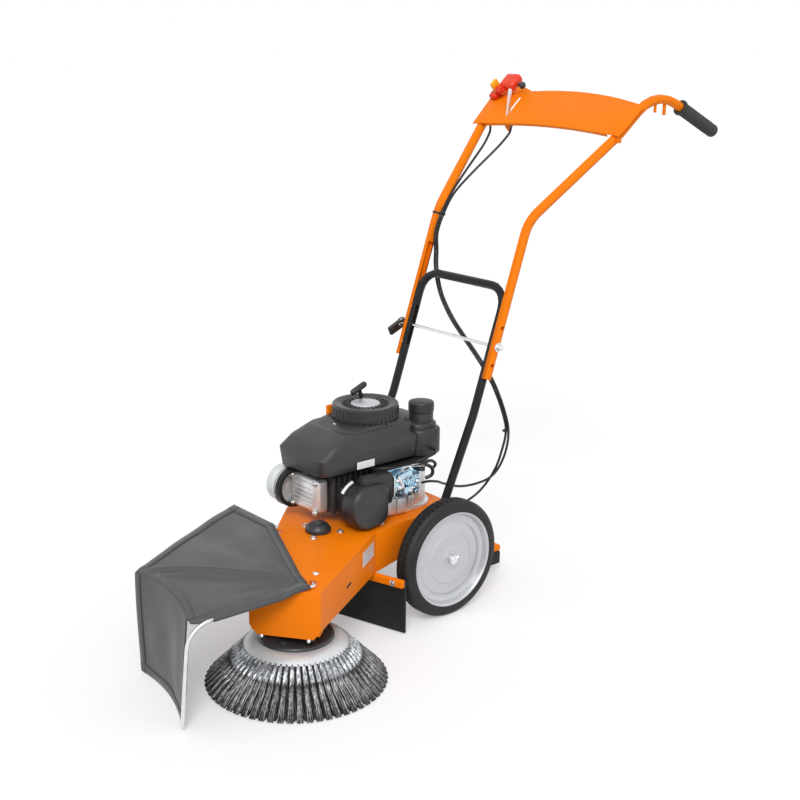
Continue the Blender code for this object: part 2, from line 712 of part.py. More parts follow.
def makeSpindle():
    low = KNOT_ROOT_Z - 0.012
    top = BELT_Z + PULLEY_T / 2 + 0.008
    cylinder("spindle", SPINDLE_R, top - low, ZINC, SPINDLE + Z_AXIS * (top + low) / 2, segments=20)
    plate_top = BEARING_PLATE_Z + BEARING_PLATE_T
    inset = SHEET + SEAT_GAP
    half = NOSE_WIDTH / 2 - inset
    reach = NOSE_REACH - inset
    back = 0.066
    corners = ((-back, -half + 0.002), (reach, -half), (reach, half), (-back, half - 0.006))
    turn = Matrix.Rotation(ARM_TURN, 3, "Z")
    plate("bearing_plate", corners, BEARING_PLATE_T, PAINT,
          SPINDLE + Z_AXIS * (BEARING_PLATE_Z + plate_top) / 2, turn, (circle(0.030, 20),))
    bore = SPINDLE_R + RUNNING_GAP
    high = plate_top + 0.012
    flange = BEARING_PLATE_Z - SEAT_GAP
    low = CARRIER_Z + CARRIER_T + RUNNING_GAP
    profile = ((bore, high), (0.028, high), (0.028, flange), (HOUSING_R, flange), (HOUSING_R, flange - 0.007),
               (0.034, flange - 0.014), (0.034, low), (bore, low))
    turned("spindle_housing", profile, BLACK, SPINDLE, steps=20)


def makeBrush():
    bore = SPINDLE_R + SEAT_GAP
    top = CARRIER_Z + CARRIER_T
    carrier = ((bore, top), (CARRIER_R - 0.004, top), (CARRIER_R, top - 0.003), (CARRIER_R, CARRIER_Z), (bore, CARRIER_Z))
    turned("brush_carrier", carrier, BLACK, SPINDLE, steps=28)
    along = Vector((cos(KNOT_SLOPE), -sin(KNOT_SLOPE)))
    out = Vector((sin(KNOT_SLOPE), cos(KNOT_SLOPE)))
    root = Vector((KNOT_ROOT_R, KNOT_ROOT_Z))
    lift = KNOT_THICK / 2 + SEAT_GAP
    rim = root + out * lift
    back = rim - along * (KNOT_BACKING + 0.004)
    under = CARRIER_Z - SEAT_GAP
    dish = ((bore, under), (CARRIER_R - 0.006, under), tuple(back + out * DISH_SHEET), tuple(rim + out * DISH_SHEET), tuple(rim),
            tuple(back), (CARRIER_R - 0.010, under - DISH_SHEET * 1.6), (bore, under - DISH_SHEET * 1.6))
    turned("brush_dish", dish, CAST, SPINDLE, steps=KNOTS)
    nut_top = under - DISH_SHEET * 1.6 - SEAT_GAP
    nut = meshed(turned("brush_nut", ((0, nut_top), (BRUSH_NUT_R, nut_top), (BRUSH_NUT_R, nut_top - BRUSH_NUT_T),
                                      (0, nut_top - BRUSH_NUT_T)), ZINC, SPINDLE, steps=6, closed=False))
    washer = cylinder("nut_washer", BRUSH_WASHER_R, 0.004, None, SPINDLE + Z_AXIS * (nut_top - 0.002), segments=24)
    boolean(nut, washer, "UNION")
    boolean(nut, cylinder("nut_bore", bore, 0.1, None, SPINDLE + Z_AXIS * nut_top, segments=20), "DIFFERENCE")
    makeKnots(root, along, out)


def makeKnots(root, along, out):
    """A conical slice of backing whose face carries the knots, five strands to a knot in a quincunx."""
    columns = 4 * KNOTS
    rows = 3
    work = bmesh.new()

    def ring(count, point):
        made = []
        for k in range(count):
            a = 2 * pi * k / count
            made.append(work.verts.new((point.x * cos(a), point.x * sin(a), point.y)))
        return made

    face = [ring(columns, root + out * KNOT_THICK * (0.5 - i / rows)) for i in range(rows + 1)]
    high = ring(KNOTS, root + out * KNOT_THICK / 2 - along * KNOT_BACKING)
    low = ring(KNOTS, root - out * KNOT_THICK / 2 - along * KNOT_BACKING)
    for k in range(KNOTS):
        n = (k + 1) % KNOTS
        step = [face[0][(4 * k + j) % columns] for j in range(5)]
        work.faces.new([high[k], *step, high[n]])
        step = [face[rows][(4 * k + j) % columns] for j in range(5)]
        work.faces.new([low[n], *step[::-1], low[k]])
        work.faces.new((low[k], high[k], high[n], low[n]))
    cells = {}
    for i in range(rows):
        for j in range(columns):
            n = (j + 1) % columns
            cells[i, j] = work.faces.new((face[i][j], face[i + 1][j], face[i + 1][n], face[i][n]))
    bmesh.ops.recalc_face_normals(work, faces=work.faces[:])
    strands = {}
    for k in range(KNOTS):
        for i, j in ((0, 0), (0, 2), (1, 1), (2, 0), (2, 2)):
            strands[cells[i, 4 * k + j]] = (k, j - 1)
    reach = (BRUSH_R - root.x - out.x * KNOT_THICK / 2) / along.x
    made = bmesh.ops.extrude_discrete_faces(work, faces=list(strands))["faces"]
    for tip, (k, side) in zip(made, strands.values()):
        a = 2 * pi * (4 * k + 1.5) / columns
        outward = Vector((cos(a), sin(a), 0))
        aside = Vector((-sin(a), cos(a), 0))
        middle = tip.calc_center_median()
        move = (outward * along.x + Z_AXIS * along.y) * reach + aside * side * KNOT_SPREAD * 0.001
        for corner in tip.verts:
            corner.co = middle + (corner.co - middle) * STRAND_TAPER + move
            corner.co.z = max(corner.co.z, 0)
    knots = fromBmesh("brush_knots", work, ZINC, SPINDLE)
    print("brush strands", len(strands), "gap between knots at the root", round(2 * pi * root.x / columns * 1000, 2), "mm")
    return knots


# Push frame and handle

FRAME_DIRECTION = Vector((0, cos(FRAME_SLOPE), sin(FRAME_SLOPE)))
PANEL_UP = Vector((0, cos(HANDLE_UPPER_SLOPE), sin(HANDLE_UPPER_SLOPE)))
PANEL_OUT = Vector((0, -sin(HANDLE_UPPER_SLOPE), cos(HANDLE_UPPER_SLOPE)))
PANEL_ORIGIN = Vector((0, frameY(HANDLE_BEND_Z), HANDLE_BEND_Z))
PANEL_OFF = HANDLE_TUBE_R * cos(pi / 8) + SEAT_GAP
PANEL_TURN = Matrix((X_AXIS, PANEL_UP, PANEL_OUT)).transposed()


def onPanel(x, s, off):
    """A point by its place across the panel, up it and away from the tubes' middle plane."""
    return PANEL_ORIGIN + X_AXIS * x + PANEL_UP * s + PANEL_OUT * off


def panelBox(name, low, high, finish, bevel=0.0):
    """A box whose sides follow the panel."""
    low = Vector(low)
    high = Vector(high)
    made = box(name, (low - high) / 2, (high - low) / 2, finish, bevel)
    made.location = onPanel(*((low + high) / 2))
    made.rotation_quaternion = PANEL_TURN.to_quaternion()
    return made


def makePushFrame():
    low = frameY(FRAME_LOW_Z)
    top = frameY(FRAME_TOP_Z)
    knee = frameY(FRAME_KNEE_Z)
    corners = ((-FRAME_HALF, low, FRAME_LOW_Z), (-FRAME_HALF, knee, FRAME_KNEE_Z), (-FRAME_HALF, top, FRAME_TOP_Z),
               (FRAME_HALF, top, FRAME_TOP_Z), (FRAME_HALF, knee, FRAME_KNEE_Z), (FRAME_HALF, low, FRAME_LOW_Z))
    bends = [0, FRAME_KNEE_R, FRAME_BEND_R, FRAME_BEND_R, FRAME_KNEE_R, 0]
    frame = meshed(tube("push_frame", rounded(corners, bends, 5), FRAME_TUBE_R, BLACK, 1))
    length = 2 * (ADJUST_TRAVEL + CLAMP_ROD_R + 0.001)
    slot = box("frame_slot", (-0.2, -SLOT_WIDTH / 2, -length / 2), (0.2, SLOT_WIDTH / 2, length / 2), None)
    slot.location = (0, frameY(CLAMP_Z), CLAMP_Z)
    slot.rotation_quaternion = Z_AXIS.rotation_difference(FRAME_DIRECTION)
    boolean(frame, slot, "DIFFERENCE")


def gripDirection(side):
    return Vector((GRIP_RUN[0] * side, *GRIP_RUN[1:])).normalized()


def makeHandle(side, name):
    spread = PANEL_ORIGIN + PANEL_UP * HANDLE_SPREAD_S
    along = gripDirection(side)
    start = Vector((GRIP_START[0] * side, *GRIP_START[1:]))
    end = start + along * (GRIP_LENGTH - GRIP_END_WALL - SEAT_GAP)
    corners = ((side * HANDLE_X, frameY(HANDLE_LOW_Z), HANDLE_LOW_Z), (side * HANDLE_X, PANEL_ORIGIN.y, HANDLE_BEND_Z),
               (side * HANDLE_SPREAD_X, spread.y, spread.z), (HANDLE_TOP[0] * side, *HANDLE_TOP[1:]), tuple(end))
    route = rounded(corners, [0, HANDLE_BEND_R, HANDLE_SPREAD_R, HANDLE_TOP_R, 0], 5)
    handle = meshed(tube("handle_tube_" + name, route, HANDLE_TUBE_R, PAINT, 1))
    beside = Vector((side * FRAME_HALF, frameY(CLAMP_Z), CLAMP_Z))
    groove = cylinder("groove_" + name, FRAME_TUBE_R + RUNNING_GAP, 0.42, None, beside, FRAME_DIRECTION, 24)
    boolean(handle, groove, "DIFFERENCE")
    for step in (-1, 0, 1):
        at = Vector((side * HANDLE_X, frameY(CLAMP_Z), CLAMP_Z)) + FRAME_DIRECTION * step * ADJUST_TRAVEL
        hole = cylinder(f"hole_{name}_{step + 1}", CLAMP_HOLE_R, 0.05, None, at, X_AXIS, 14)
        boolean(handle, hole, "DIFFERENCE")
    makeGrip(name, start, along)


def makeGrip(name, start, along):
    """A moulded sleeve with finger ridges, closed at its end."""
    bore = HANDLE_TUBE_R + SEAT_GAP
    pitch = (GRIP_LENGTH - 0.030) / GRIP_RIBS
    outside = [(GRIP_R - 0.003, GRIP_LENGTH), (GRIP_R, GRIP_LENGTH - 0.004)]
    for k in range(GRIP_RIBS, 0, -1):
        z = 0.012 + pitch * k
        outside += [(GRIP_R, z), (GRIP_R - GRIP_RIB, z - pitch * 0.45)]
    outside += [(GRIP_R, 0.012), (GRIP_R + 0.001, 0.008), (GRIP_R + 0.001, 0.0)]
    inside = [(bore, 0.0), (bore, GRIP_LENGTH - GRIP_END_WALL), (0, GRIP_LENGTH - GRIP_END_WALL)]
    turned("grip_" + name, [(0, GRIP_LENGTH)] + outside + inside, GUM, start, along, steps=12, closed=False)


def makePanel():
    columns = 12
    work = bmesh.new()
    rows = []
    for k in range(columns + 1):
        u = 2 * k / columns - 1
        low_x = u * (PANEL_HALF - 0.002)
        top_x = u * (PANEL_HALF + 0.006)
        low_s = PANEL_LOW_S + PANEL_LOW_RISE * (1 - u * u)
        top_s = PANEL_TOP_S + PANEL_TOP_RISE * (1 - u * u)
        rows.append([work.verts.new(onPanel(low_x, low_s, PANEL_OFF)), work.verts.new(onPanel(top_x, top_s, PANEL_OFF))])
        if abs(low_x) <= PANEL_FLANGE_HALF:
            rows[-1].append(work.verts.new(onPanel(low_x, low_s, PANEL_OFF - PANEL_FLANGE)))
    for a, b in zip(rows, rows[1:]):
        work.faces.new((a[0], b[0], b[1], a[1]))
        if len(a) == len(b) == 3:
            work.faces.new((a[2], b[2], b[0], a[0]))
    panel = fromBmesh("handle_panel", work, PAINT)
    sheet = panel.modifiers.new("sheet", "SOLIDIFY")
    sheet.thickness = PANEL_T
    sheet.offset = 1
    sheet.use_even_offset = True
    panel = meshed(panel)
    face = PANEL_OFF + PANEL_T
    tab_x = (THROTTLE_X + 0.005, THROTTLE_X + 0.008)
    tab = panelBox("panel_tab", (tab_x[0], THROTTLE_S - 0.010, THROTTLE_OFF - 0.008), (tab_x[1], THROTTLE_S + 0.010, face - 0.001),
                   None)
    boolean(panel, tab, "UNION")
    hole = cylinder("panel_tab_bore", CAM_PIN_R + SEAT_GAP, 0.02, None, onPanel(THROTTLE_X, THROTTLE_S, THROTTLE_OFF), X_AXIS, 16)
    boolean(panel, hole, "DIFFERENCE")
    half = THROTTLE_SLOT_W / 2
    slot = panelBox("throttle_slot", (THROTTLE_X - half, THROTTLE_SLOT[0], PANEL_OFF - 0.01),
                    (THROTTLE_X + half, THROTTLE_SLOT[1], face + 0.01), None)
    boolean(panel, slot, "DIFFERENCE")


def extruded(name, outline, low, high, finish):
    """A closed outline of (up the panel, away from it) points, filled from low to high across it."""
    rings = [[onPanel(x, s, off) for s, off in outline] for x in (low, high)]
    return loft(name, rings, finish)


def makeControls():
    face = PANEL_OFF + PANEL_T + SEAT_GAP
    bracket = panelBox("control_bracket", (BRACKET_X[0], BRACKET_S[0], face), (BRACKET_X[1], BRACKET_S[1], BRACKET_TOP), PLASTIC)
    ear = ((CLUTCH_S - 0.010, BRACKET_TOP - 0.004), (CLUTCH_S + 0.010, BRACKET_TOP - 0.004), (CLUTCH_S + 0.007, CLUTCH_OFF + 0.006),
           (CLUTCH_S - 0.007, CLUTCH_OFF + 0.006))
    pin = CLUTCH_PIN_R + SEAT_GAP
    for k, low in enumerate((EAR_X[0], EAR_X[1] - EAR_T)):
        boolean(bracket, extruded(f"bracket_ear_{k}", ear, low, low + EAR_T, None), "UNION")
    at = onPanel(sum(EAR_X) / 2, CLUTCH_S, CLUTCH_OFF)
    boolean(bracket, cylinder("bracket_bore", pin, 0.08, None, at, X_AXIS, 20), "DIFFERENCE")

    inner = (EAR_X[0] + EAR_T + RUNNING_GAP, EAR_X[1] - EAR_T - RUNNING_GAP)
    under = CLUTCH_OFF - 0.006
    hub = [(CLUTCH_S + CLUTCH_HUB_R * cos(a), CLUTCH_OFF + CLUTCH_HUB_R * sin(a))
           for a in (radians(40) + radians(250) * k / 8 for k in range(9))]
    lever = meshed(extruded("clutch_lever", hub + [(CLUTCH_S + 0.022, under), (CLUTCH_S + 0.022, under + 0.016)],
                            *inner, RED_PLASTIC))
    paddle = [(CLUTCH_S + 0.015, under - 0.001), (CLUTCH_S + 0.040, under - 0.006), (CLUTCH_S + 0.056, under - 0.014),
              (CLUTCH_S + 0.058, under - 0.006), (CLUTCH_S + 0.046, under + 0.008), (CLUTCH_S + 0.030, under + 0.015),
              (CLUTCH_S + 0.015, under + 0.017)]
    boolean(lever, extruded("lever_paddle", paddle, inner[0] - 0.0002, PADDLE_RIGHT, None), "UNION")
    boolean(lever, cylinder("lever_pin", CLUTCH_PIN_R, EAR_X[1] - EAR_X[0] - 0.001, None, at, X_AXIS, 16), "UNION")
    knob = (PADDLE_RIGHT + KNOB_X) / 2 - 0.004
    knob_at = onPanel(knob, CLUTCH_S + 0.036, under + 0.004)
    boolean(lever, cylinder("lever_knob", KNOB_R, KNOB_X - PADDLE_RIGHT + 0.008, None, knob_at, X_AXIS, 14), "UNION")

    panelBox("lever_block", (BLOCK_X[0], BLOCK_S[0], BRACKET_TOP + SEAT_GAP), (BLOCK_X[1], BLOCK_S[1], BLOCK_TOP), YELLOW_PLASTIC, 0.002)

    turn = Vector((sin(THROTTLE_LEAN), cos(THROTTLE_LEAN)))
    aside = Vector((turn.y, -turn.x))
    pivot = Vector((THROTTLE_S, THROTTLE_OFF))
    half = 0.005
    heel = [tuple(pivot + aside * 0.007 * cos(a) - turn * 0.007 * sin(a)) for a in (pi * k / 6 for k in range(7))]
    tip = [tuple(pivot + turn * (THROTTLE_LENGTH - 0.004 + 0.004 * sin(a)) - aside * half * cos(a))
           for a in (pi * k / 4 for k in range(5))]
    lever = meshed(extruded("throttle_lever", heel + tip, THROTTLE_X - 0.002, THROTTLE_X + 0.002, ZINC))
    pin = cylinder("throttle_pin", CAM_PIN_R, 0.012, None, onPanel(THROTTLE_X + 0.004, *pivot), X_AXIS, 14)
    boolean(lever, pin, "UNION")


def makeClamp():
    at = Vector((0, frameY(CLAMP_Z), CLAMP_Z))
    outer = HANDLE_X + HANDLE_TUBE_R
    lean = Vector(CAM_LEAN).normalized()
    pin_axis = X_AXIS.cross(lean)
    pivot = at - X_AXIS * (outer + 0.0025 + CAM_R)
    end = outer + SEAT_GAP + CLAMP_NUT_T + 0.006
    length = end - pivot.x
    rod = meshed(cylinder("clamp_rod", CLAMP_ROD_R, length, ZINC, at + X_AXIS * (end + pivot.x) / 2, X_AXIS, 14))
    boolean(rod, cylinder("rod_pin", CAM_PIN_R, CAM_WIDTH - 0.001, None, pivot, pin_axis, 14), "UNION")
    seat = at + X_AXIS * (outer + SEAT_GAP)
    block = ((0, CLAMP_NUT_T), (CLAMP_NUT_R, CLAMP_NUT_T), (CLAMP_NUT_R, 0), (0, 0))
    nut = meshed(turned("clamp_nut", block, ZINC, seat, X_AXIS, steps=6, closed=False))
    boolean(nut, cylinder("clamp_nut_bore", CLAMP_ROD_R + SEAT_GAP, 0.05, None, seat, X_AXIS, 14), "DIFFERENCE")

    half = 0.0055
    outline = [(CAM_R * cos(a), CAM_R * sin(a)) for a in (radians(45) + radians(270) * k / 10 for k in range(11))]
    outline += [(CAM_LENGTH - 0.004, -half), (CAM_LENGTH, -half + 0.003), (CAM_LENGTH, half - 0.003), (CAM_LENGTH - 0.004, half)]
    turn = Matrix((lean, -X_AXIS, lean.cross(-X_AXIS))).transposed()
    lever = meshed(plate("cam_lever", outline, CAM_WIDTH, PLASTIC, pivot, turn, (circle(CAM_PIN_R + SEAT_GAP, 14),)))
    slot = box("cam_slot", (-0.02, -0.02, -CAM_SLOT / 2), (CAM_R + 0.003, 0.02, CAM_SLOT / 2), None)
    slot.location = pivot
    slot.rotation_quaternion = turn.to_quaternion()
    boolean(lever, slot, "DIFFERENCE")


# Engine

def gear(radius, root, teeth, share=0.5):
    """An outline of equal teeth."""
    points = []
    for k in range(teeth):
        for r, turn in ((root, 0), (radius, 0.5 - share / 2), (radius, 0.5 + share / 2), (root, 1)):
            a = 2 * pi * (k + turn * 0.98) / teeth
            points.append((r * cos(a), r * sin(a)))
    return points


def makeEngine():
    low = DECK_Z + SEAT_GAP
    case = box("crankcase", (-CRANKCASE_HALF, CRANKCASE_Y[0], low), (CRANKCASE_HALF, CRANKCASE_Y[1], CRANKCASE_TOP), CAST, 0.010)
    bore = cylinder("case_bore", CRANK_R + RUNNING_GAP, 0.2, None, (0, CRANK_Y, CRANKCASE_TOP - 0.05), segments=24)
    boolean(case, bore, "DIFFERENCE")

    fins = 7
    back = CRANKCASE_Y[0] - SEAT_GAP
    pitch = (back - CYLINDER_FRONT) / (fins - 0.5)
    side = []
    for k in range(fins):
        y = back - pitch * k
        side += [(CYLINDER_HALF, y), (CYLINDER_HALF, y - pitch / 2), (CYLINDER_HALF - 0.014, y - pitch / 2),
                 (CYLINDER_HALF - 0.014, y - pitch)]
    side = side[:-2]
    outline = side + [(-x, y) for x, y in side[::-1]]
    plate("cylinder", outline, CYLINDER_Z[1] - CYLINDER_Z[0], CAST, (0, 0, sum(CYLINDER_Z) / 2))
    front = CYLINDER_FRONT - SEAT_GAP
    box("rocker_cover", (-0.055, front - ROCKER_T, CYLINDER_Z[0]), (0.045, front, CYLINDER_Z[1] - 0.004), CAST, 0.008)
    makeShroud()
    blades = gear(FAN_R, FAN_R - 0.020, FAN_BLADES, 0.4)
    plate("flywheel_fan", blades, FAN_Z[1] - FAN_Z[0], CAST, (0, CRANK_Y, sum(FAN_Z) / 2), holes=(circle(CRANK_R + SEAT_GAP, 16),))
    makeStarter()
    makeTank()
    makeFilter()
    makeMuffler()


def roundedRing(half, front, rear, z, corner):
    points = ((half, rear), (-half, rear), (-half, front), (half, front))
    return [(p.x, p.y, z) for p in rounded([(*q, 0) for q in points], corner, 4, closed=True)]


def makeShroud():
    rings = []
    for z, half, front, rear, corner in SHROUD_RINGS:
        rings.append(roundedRing(half, front, rear, z, corner))
    shroud = loft("engine_shroud", rings, PLASTIC, caps=(False, True), sheet=SHROUD_SHEET)
    hub = cylinder("shroud_opening", 0.052, 0.02, None, (0, CRANK_Y, SHROUD_TOP_Z), segments=24)
    boolean(shroud, hub, "DIFFERENCE")


def makeStarter():
    low = SHROUD_TOP_Z + SEAT_GAP
    high = STARTER_TOP
    at = (0, CRANK_Y, (low + high) / 2)
    wall = 0.004
    half = (high - low) / 2
    cup = ((0, half), (STARTER_R - 0.010, half), (STARTER_R, half - 0.006), (STARTER_R, -half), (STARTER_R - wall, -half),
           (STARTER_R - wall, half - 0.008), (0, half - wall))
    starter = meshed(turned("starter_housing", cup, PLASTIC, at, steps=32, closed=False))
    lean = Vector(PULL_LEAN).normalized()
    down = X_AXIS.cross(lean)
    down = down if down.z < 0 else -down
    mouth = cylinder("starter_mouth", PULL_STEM_R + SEAT_GAP, 0.05, None, Vector(PULL_AT) + down * PULL_STEM, down, 20)
    boolean(starter, mouth, "DIFFERENCE")
    grip = [(PULL_R * cos(a), PULL_LENGTH / 2 - PULL_R + PULL_R * sin(a)) for a in (pi / 2 * (1 - k / 3) for k in range(4))]
    grip[0] = (0, PULL_LENGTH / 2)
    outline = grip + [(r, -z) for r, z in grip[::-1]]
    handle = meshed(turned("starter_handle", outline, PLASTIC, PULL_AT, lean, steps=16, closed=False))
    stem = cylinder("pull_stem", PULL_STEM_R, PULL_STEM, None, Vector(PULL_AT) + down * PULL_STEM / 2, down, 14)
    boolean(handle, stem, "UNION")


def makeTank():
    tank = box("fuel_tank", (-TANK_HALF, SHROUD_REAR + SEAT_GAP, TANK_BASE_Z), (TANK_HALF, TANK_REAR, TANK_TOP_Z), PLASTIC, 0.012)
    neck_top = CAP_TOP - CAP_T - SEAT_GAP
    neck = cylinder("tank_neck", NECK_R, neck_top - TANK_TOP_Z + 0.01, None, (*NECK, (neck_top + TANK_TOP_Z - 0.01) / 2), segments=28)
    boolean(tank, neck, "UNION")
    plate("fuel_cap", gear(CAP_R, CAP_R - 0.002, 12), CAP_T, PLASTIC, (*NECK, CAP_TOP - CAP_T / 2))


def makeFilter():
    centre = Vector((FILTER_Y, FILTER_Z))
    outline = [(centre.x + FILTER_R * cos(a), centre.y + FILTER_R * sin(a)) for a in (radians(95) + radians(170) * k / 9 for k in range(10))]
    low = FILTER_Z - FILTER_R + 0.0035
    high = FILTER_Z + FILTER_R - 0.002
    outline += [(FILTER_REAR - 0.020, low), (FILTER_REAR - 0.006, low + 0.008), (FILTER_REAR, low + 0.021),
                (FILTER_REAR, high - 0.018), (FILTER_REAR - 0.006, high - 0.006), (FILTER_REAR - 0.020, high)]
    middle = sum((Vector(p) for p in outline), Vector((0, 0))) / len(outline)
    rings = []
    for x, scale in ((FILTER_X[0], 1.0), (FILTER_X[1] - 0.010, 0.985), (FILTER_X[1] - 0.003, 0.93), (FILTER_X[1], 0.82)):
        rings.append([(x, *(middle + (Vector(p) - middle) * scale)) for p in outline])
    loft("air_filter_cover", rings, PLASTIC)
    box("air_filter_base", (CYLINDER_HALF + SEAT_GAP, -0.222, 0.258), (FILTER_X[0] - SEAT_GAP, CRANKCASE_Y[0] - SEAT_GAP, 0.334),
        PLASTIC, 0.006)
    carb = box("carburettor", (CARB_X[0], CARB_Y[0], CARB_Z[0]), (CARB_X[1], CARB_Y[1], CARB_Z[1]), CAST, 0.004)
    return carb


def makeMuffler():
    at = Vector(MUFFLER)
    profile = ((0, MUFFLER_HALF), (MUFFLER_R - 0.006, MUFFLER_HALF), (MUFFLER_R, MUFFLER_HALF - 0.005),
               (MUFFLER_R, 0.005 - MUFFLER_HALF), (MUFFLER_R - 0.006, -MUFFLER_HALF), (0, -MUFFLER_HALF))
    drum = meshed(turned("muffler", profile, CAST, at, X_AXIS, steps=24, closed=False))
    port = box("exhaust_port", (at.x + 0.010, PORT_Y[0], at.z - 0.014), (-CYLINDER_HALF - SEAT_GAP, PORT_Y[1], at.z + 0.014), None)
    boolean(drum, port, "UNION")
    seat = MUFFLER_R + SEAT_GAP
    low, high = MUFFLER_BAND
    turned("muffler_guard", ((seat, high), (seat + 0.003, high), (seat + 0.003, low), (seat, low)), BLACK, at, X_AXIS, steps=24)


# Guard, flap and tread

def guardPoint(points, u):
    """A point at share u along a broken line."""
    points = [Vector(p) for p in points]
    lengths = [(b - a).length for a, b in zip(points, points[1:])]
    goal = u * sum(lengths)
    for a, b, length in zip(points, points[1:], lengths):
        if goal <= length + 1e-9:
            return a.lerp(b, min(1.0, goal / length))
        goal -= length
    return points[-1]


def nearRod():
    hook_left = Vector((*HOOK_LEFT, HOOK_Z))
    inward = (Vector((*HOOK_RIGHT, HOOK_Z)) - hook_left).normalized()
    near = [hook_left + inward * HOOK_LENGTH, hook_left, *GUARD_NEAR_ROD]
    return rounded(near, [0, 0.012, 0.03, 0.03, 0.03, 0], 4)


def makeGuardCloth():
    """A top panel with a faint ridge, and a skirt that hangs from its front crease."""
    crease = [Vector(p) for p in GUARD_CREASE]
    ridge_rear = Vector(GUARD_REAR[2]).xy
    ridge = (crease[0].xy - ridge_rear).normalized()
    work = bmesh.new()
    columns = []
    for k in range(GUARD_COLUMNS + 1):
        u = k / GUARD_COLUMNS
        rear = guardPoint(GUARD_REAR, u)
        bow = 4 * u * (1 - u)
        front = crease[0].lerp(crease[1], u) + Vector((0, GUARD_BOW * bow, 0.003 * bow))
        foot = Vector(GUARD_FOOT[0]).lerp(Vector(GUARD_FOOT[1]), u) + Y_AXIS * GUARD_BOW * bow
        column = []
        for j in range(GUARD_ROWS + 1):
            v = j / GUARD_ROWS
            point = rear.lerp(front, v)
            point.z = rear.z + (front.z - rear.z) * v ** 2
            aside = abs((point.xy - ridge_rear).cross(ridge))
            point.z += GUARD_RIDGE * max(0.0, 1 - aside / 0.09) ** 2 * v * (1 - v) * 4
            column.append(work.verts.new(point))
        for j in range(1, GUARD_SKIRT_ROWS + 1):
            v = j / GUARD_SKIRT_ROWS
            point = front.lerp(foot, v)
            point.y -= 0.004 * sin(pi * v)
            column.append(work.verts.new(point))
        columns.append(column)
    for a, b in zip(columns, columns[1:]):
        for j in range(len(a) - 1):
            work.faces.new((a[j], a[j + 1], b[j + 1], b[j]))
    cloth = fromBmesh("guard_cloth", work, CLOTH)
    sheet = cloth.modifiers.new("sheet", "SOLIDIFY")
    sheet.thickness = GUARD_SHEET
    sheet.offset = -1
    sheet.use_even_offset = True


def makeGuardRods():
    hook_left = Vector((*HOOK_LEFT, HOOK_Z))
    hook_right = Vector((*HOOK_RIGHT, HOOK_Z))
    inward = (hook_right - hook_left).normalized()
    far = [hook_right - inward * HOOK_LENGTH, hook_right, *GUARD_FAR_ROD]
    tube("guard_rod_near", nearRod(), GUARD_ROD_R, BLACK, 1)
    tube("guard_rod_far", rounded(far, [0, 0.012, GUARD_ROD_BEND, GUARD_ROD_BEND, 0], 4), GUARD_ROD_R, BLACK, 1)


def makeFlap():
    turn = Matrix.Rotation(FLAP_SKEW, 3, "Z").to_quaternion()
    half = FLAP_WIDTH / 2
    thick = FLAP_BAR_T / 2
    bar = box("flap_bar", (-half, -thick, -FLAP_BAR_H / 2), (half, thick, FLAP_BAR_H / 2), BLACK, 0.002)
    bar.location = (*FLAP_MID, FLAP_TOP_Z - FLAP_BAR_H / 2)
    bar.rotation_quaternion = turn
    top = FLAP_TOP_Z - FLAP_BAR_H + FLAP_TUCK
    height = top - FLAP_LOW_Z
    flap = box("rubber_flap", (-half, -FLAP_T / 2, -height / 2), (half, FLAP_T / 2, height / 2), GUM)
    behind = turn @ (Y_AXIS * (thick + FLAP_T / 2 + SEAT_GAP))
    flap.location = (FLAP_MID[0] + behind.x, FLAP_MID[1] + behind.y, (top + FLAP_LOW_Z) / 2)
    flap.rotation_quaternion = turn


def makeTread():
    tread = box("rear_tread", (-TREAD_HALF, TREAD_Y[0], TREAD_Z[0]), (TREAD_HALF, TREAD_Y[1], TREAD_Z[1]), PAINT, 0.003)
    near = DECK_REAR_Y + SEAT_GAP
    outline = ((near, DECK_Z - 0.003), (near, REAR_LIP_Z + 0.002), (TREAD_Y[0] + 0.006, TREAD_Z[0] + 0.004),
               (TREAD_Y[0] + 0.030, TREAD_Z[0] + 0.008), (near + 0.012, DECK_Z - 0.003))
    for side in (-1, 1):
        rings = [[(side * TREAD_ARM_X + x, y, z) for y, z in outline] for x in (-TREAD_ARM_T / 2, TREAD_ARM_T / 2)]
        boolean(tread, loft(f"tread_arm_{side + 1}", rings, None), "UNION")
    box("tread_pad", (-TREAD_HALF, TREAD_Y[0], TREAD_PAD_Z), (TREAD_HALF, TREAD_Y[1], TREAD_Z[0] - SEAT_GAP), GUM, 0.003)


# Cables and hose

def smooth(points, parts):
    """A smooth route through every point."""
    points = [Vector(p) for p in points]
    ends = [points[0] * 2 - points[1], *points, points[-1] * 2 - points[-2]]
    route = [points[0]]
    for a, b, c, d in zip(ends, ends[1:], ends[2:], ends[3:]):
        for k in range(1, parts + 1):
            t = k / parts
            route.append(0.5 * (2 * b + (c - a) * t + (2 * a - 5 * b + 4 * c - d) * t ** 2 + (3 * b - a - 3 * c + d) * t ** 3))
    return route


def makeCables():
    tube("clutch_cable", smooth(CLUTCH_ROUTE, 2), CABLE_R, GUM, 1)
    tube("throttle_cable", smooth(THROTTLE_ROUTE, 2), CABLE_R, GUM, 1)
    tube("fuel_hose", smooth(HOSE_ROUTE, 3), HOSE_R, GUM, 1)


makeChassis()
makeAxleBrackets()
makeAxle()
for wheel_side, wheel_name in ((1, "left"), (-1, "right")):
    makeWheel(wheel_side, wheel_name)
    makeHandle(wheel_side, wheel_name)
makeBeltDrive()
makeTensioner()
makeSpindle()
makeBrush()
makePushFrame()
makePanel()
makeControls()
makeClamp()
makeEngine()
makeGuardCloth()
makeGuardRods()
makeFlap()
makeTread()
makeCables()
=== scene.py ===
# Looks for the weed brush machine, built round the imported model.
from math import cos, exp, pi, radians, sin, tan

import bmesh
import bpy
from mathutils import Matrix, Vector


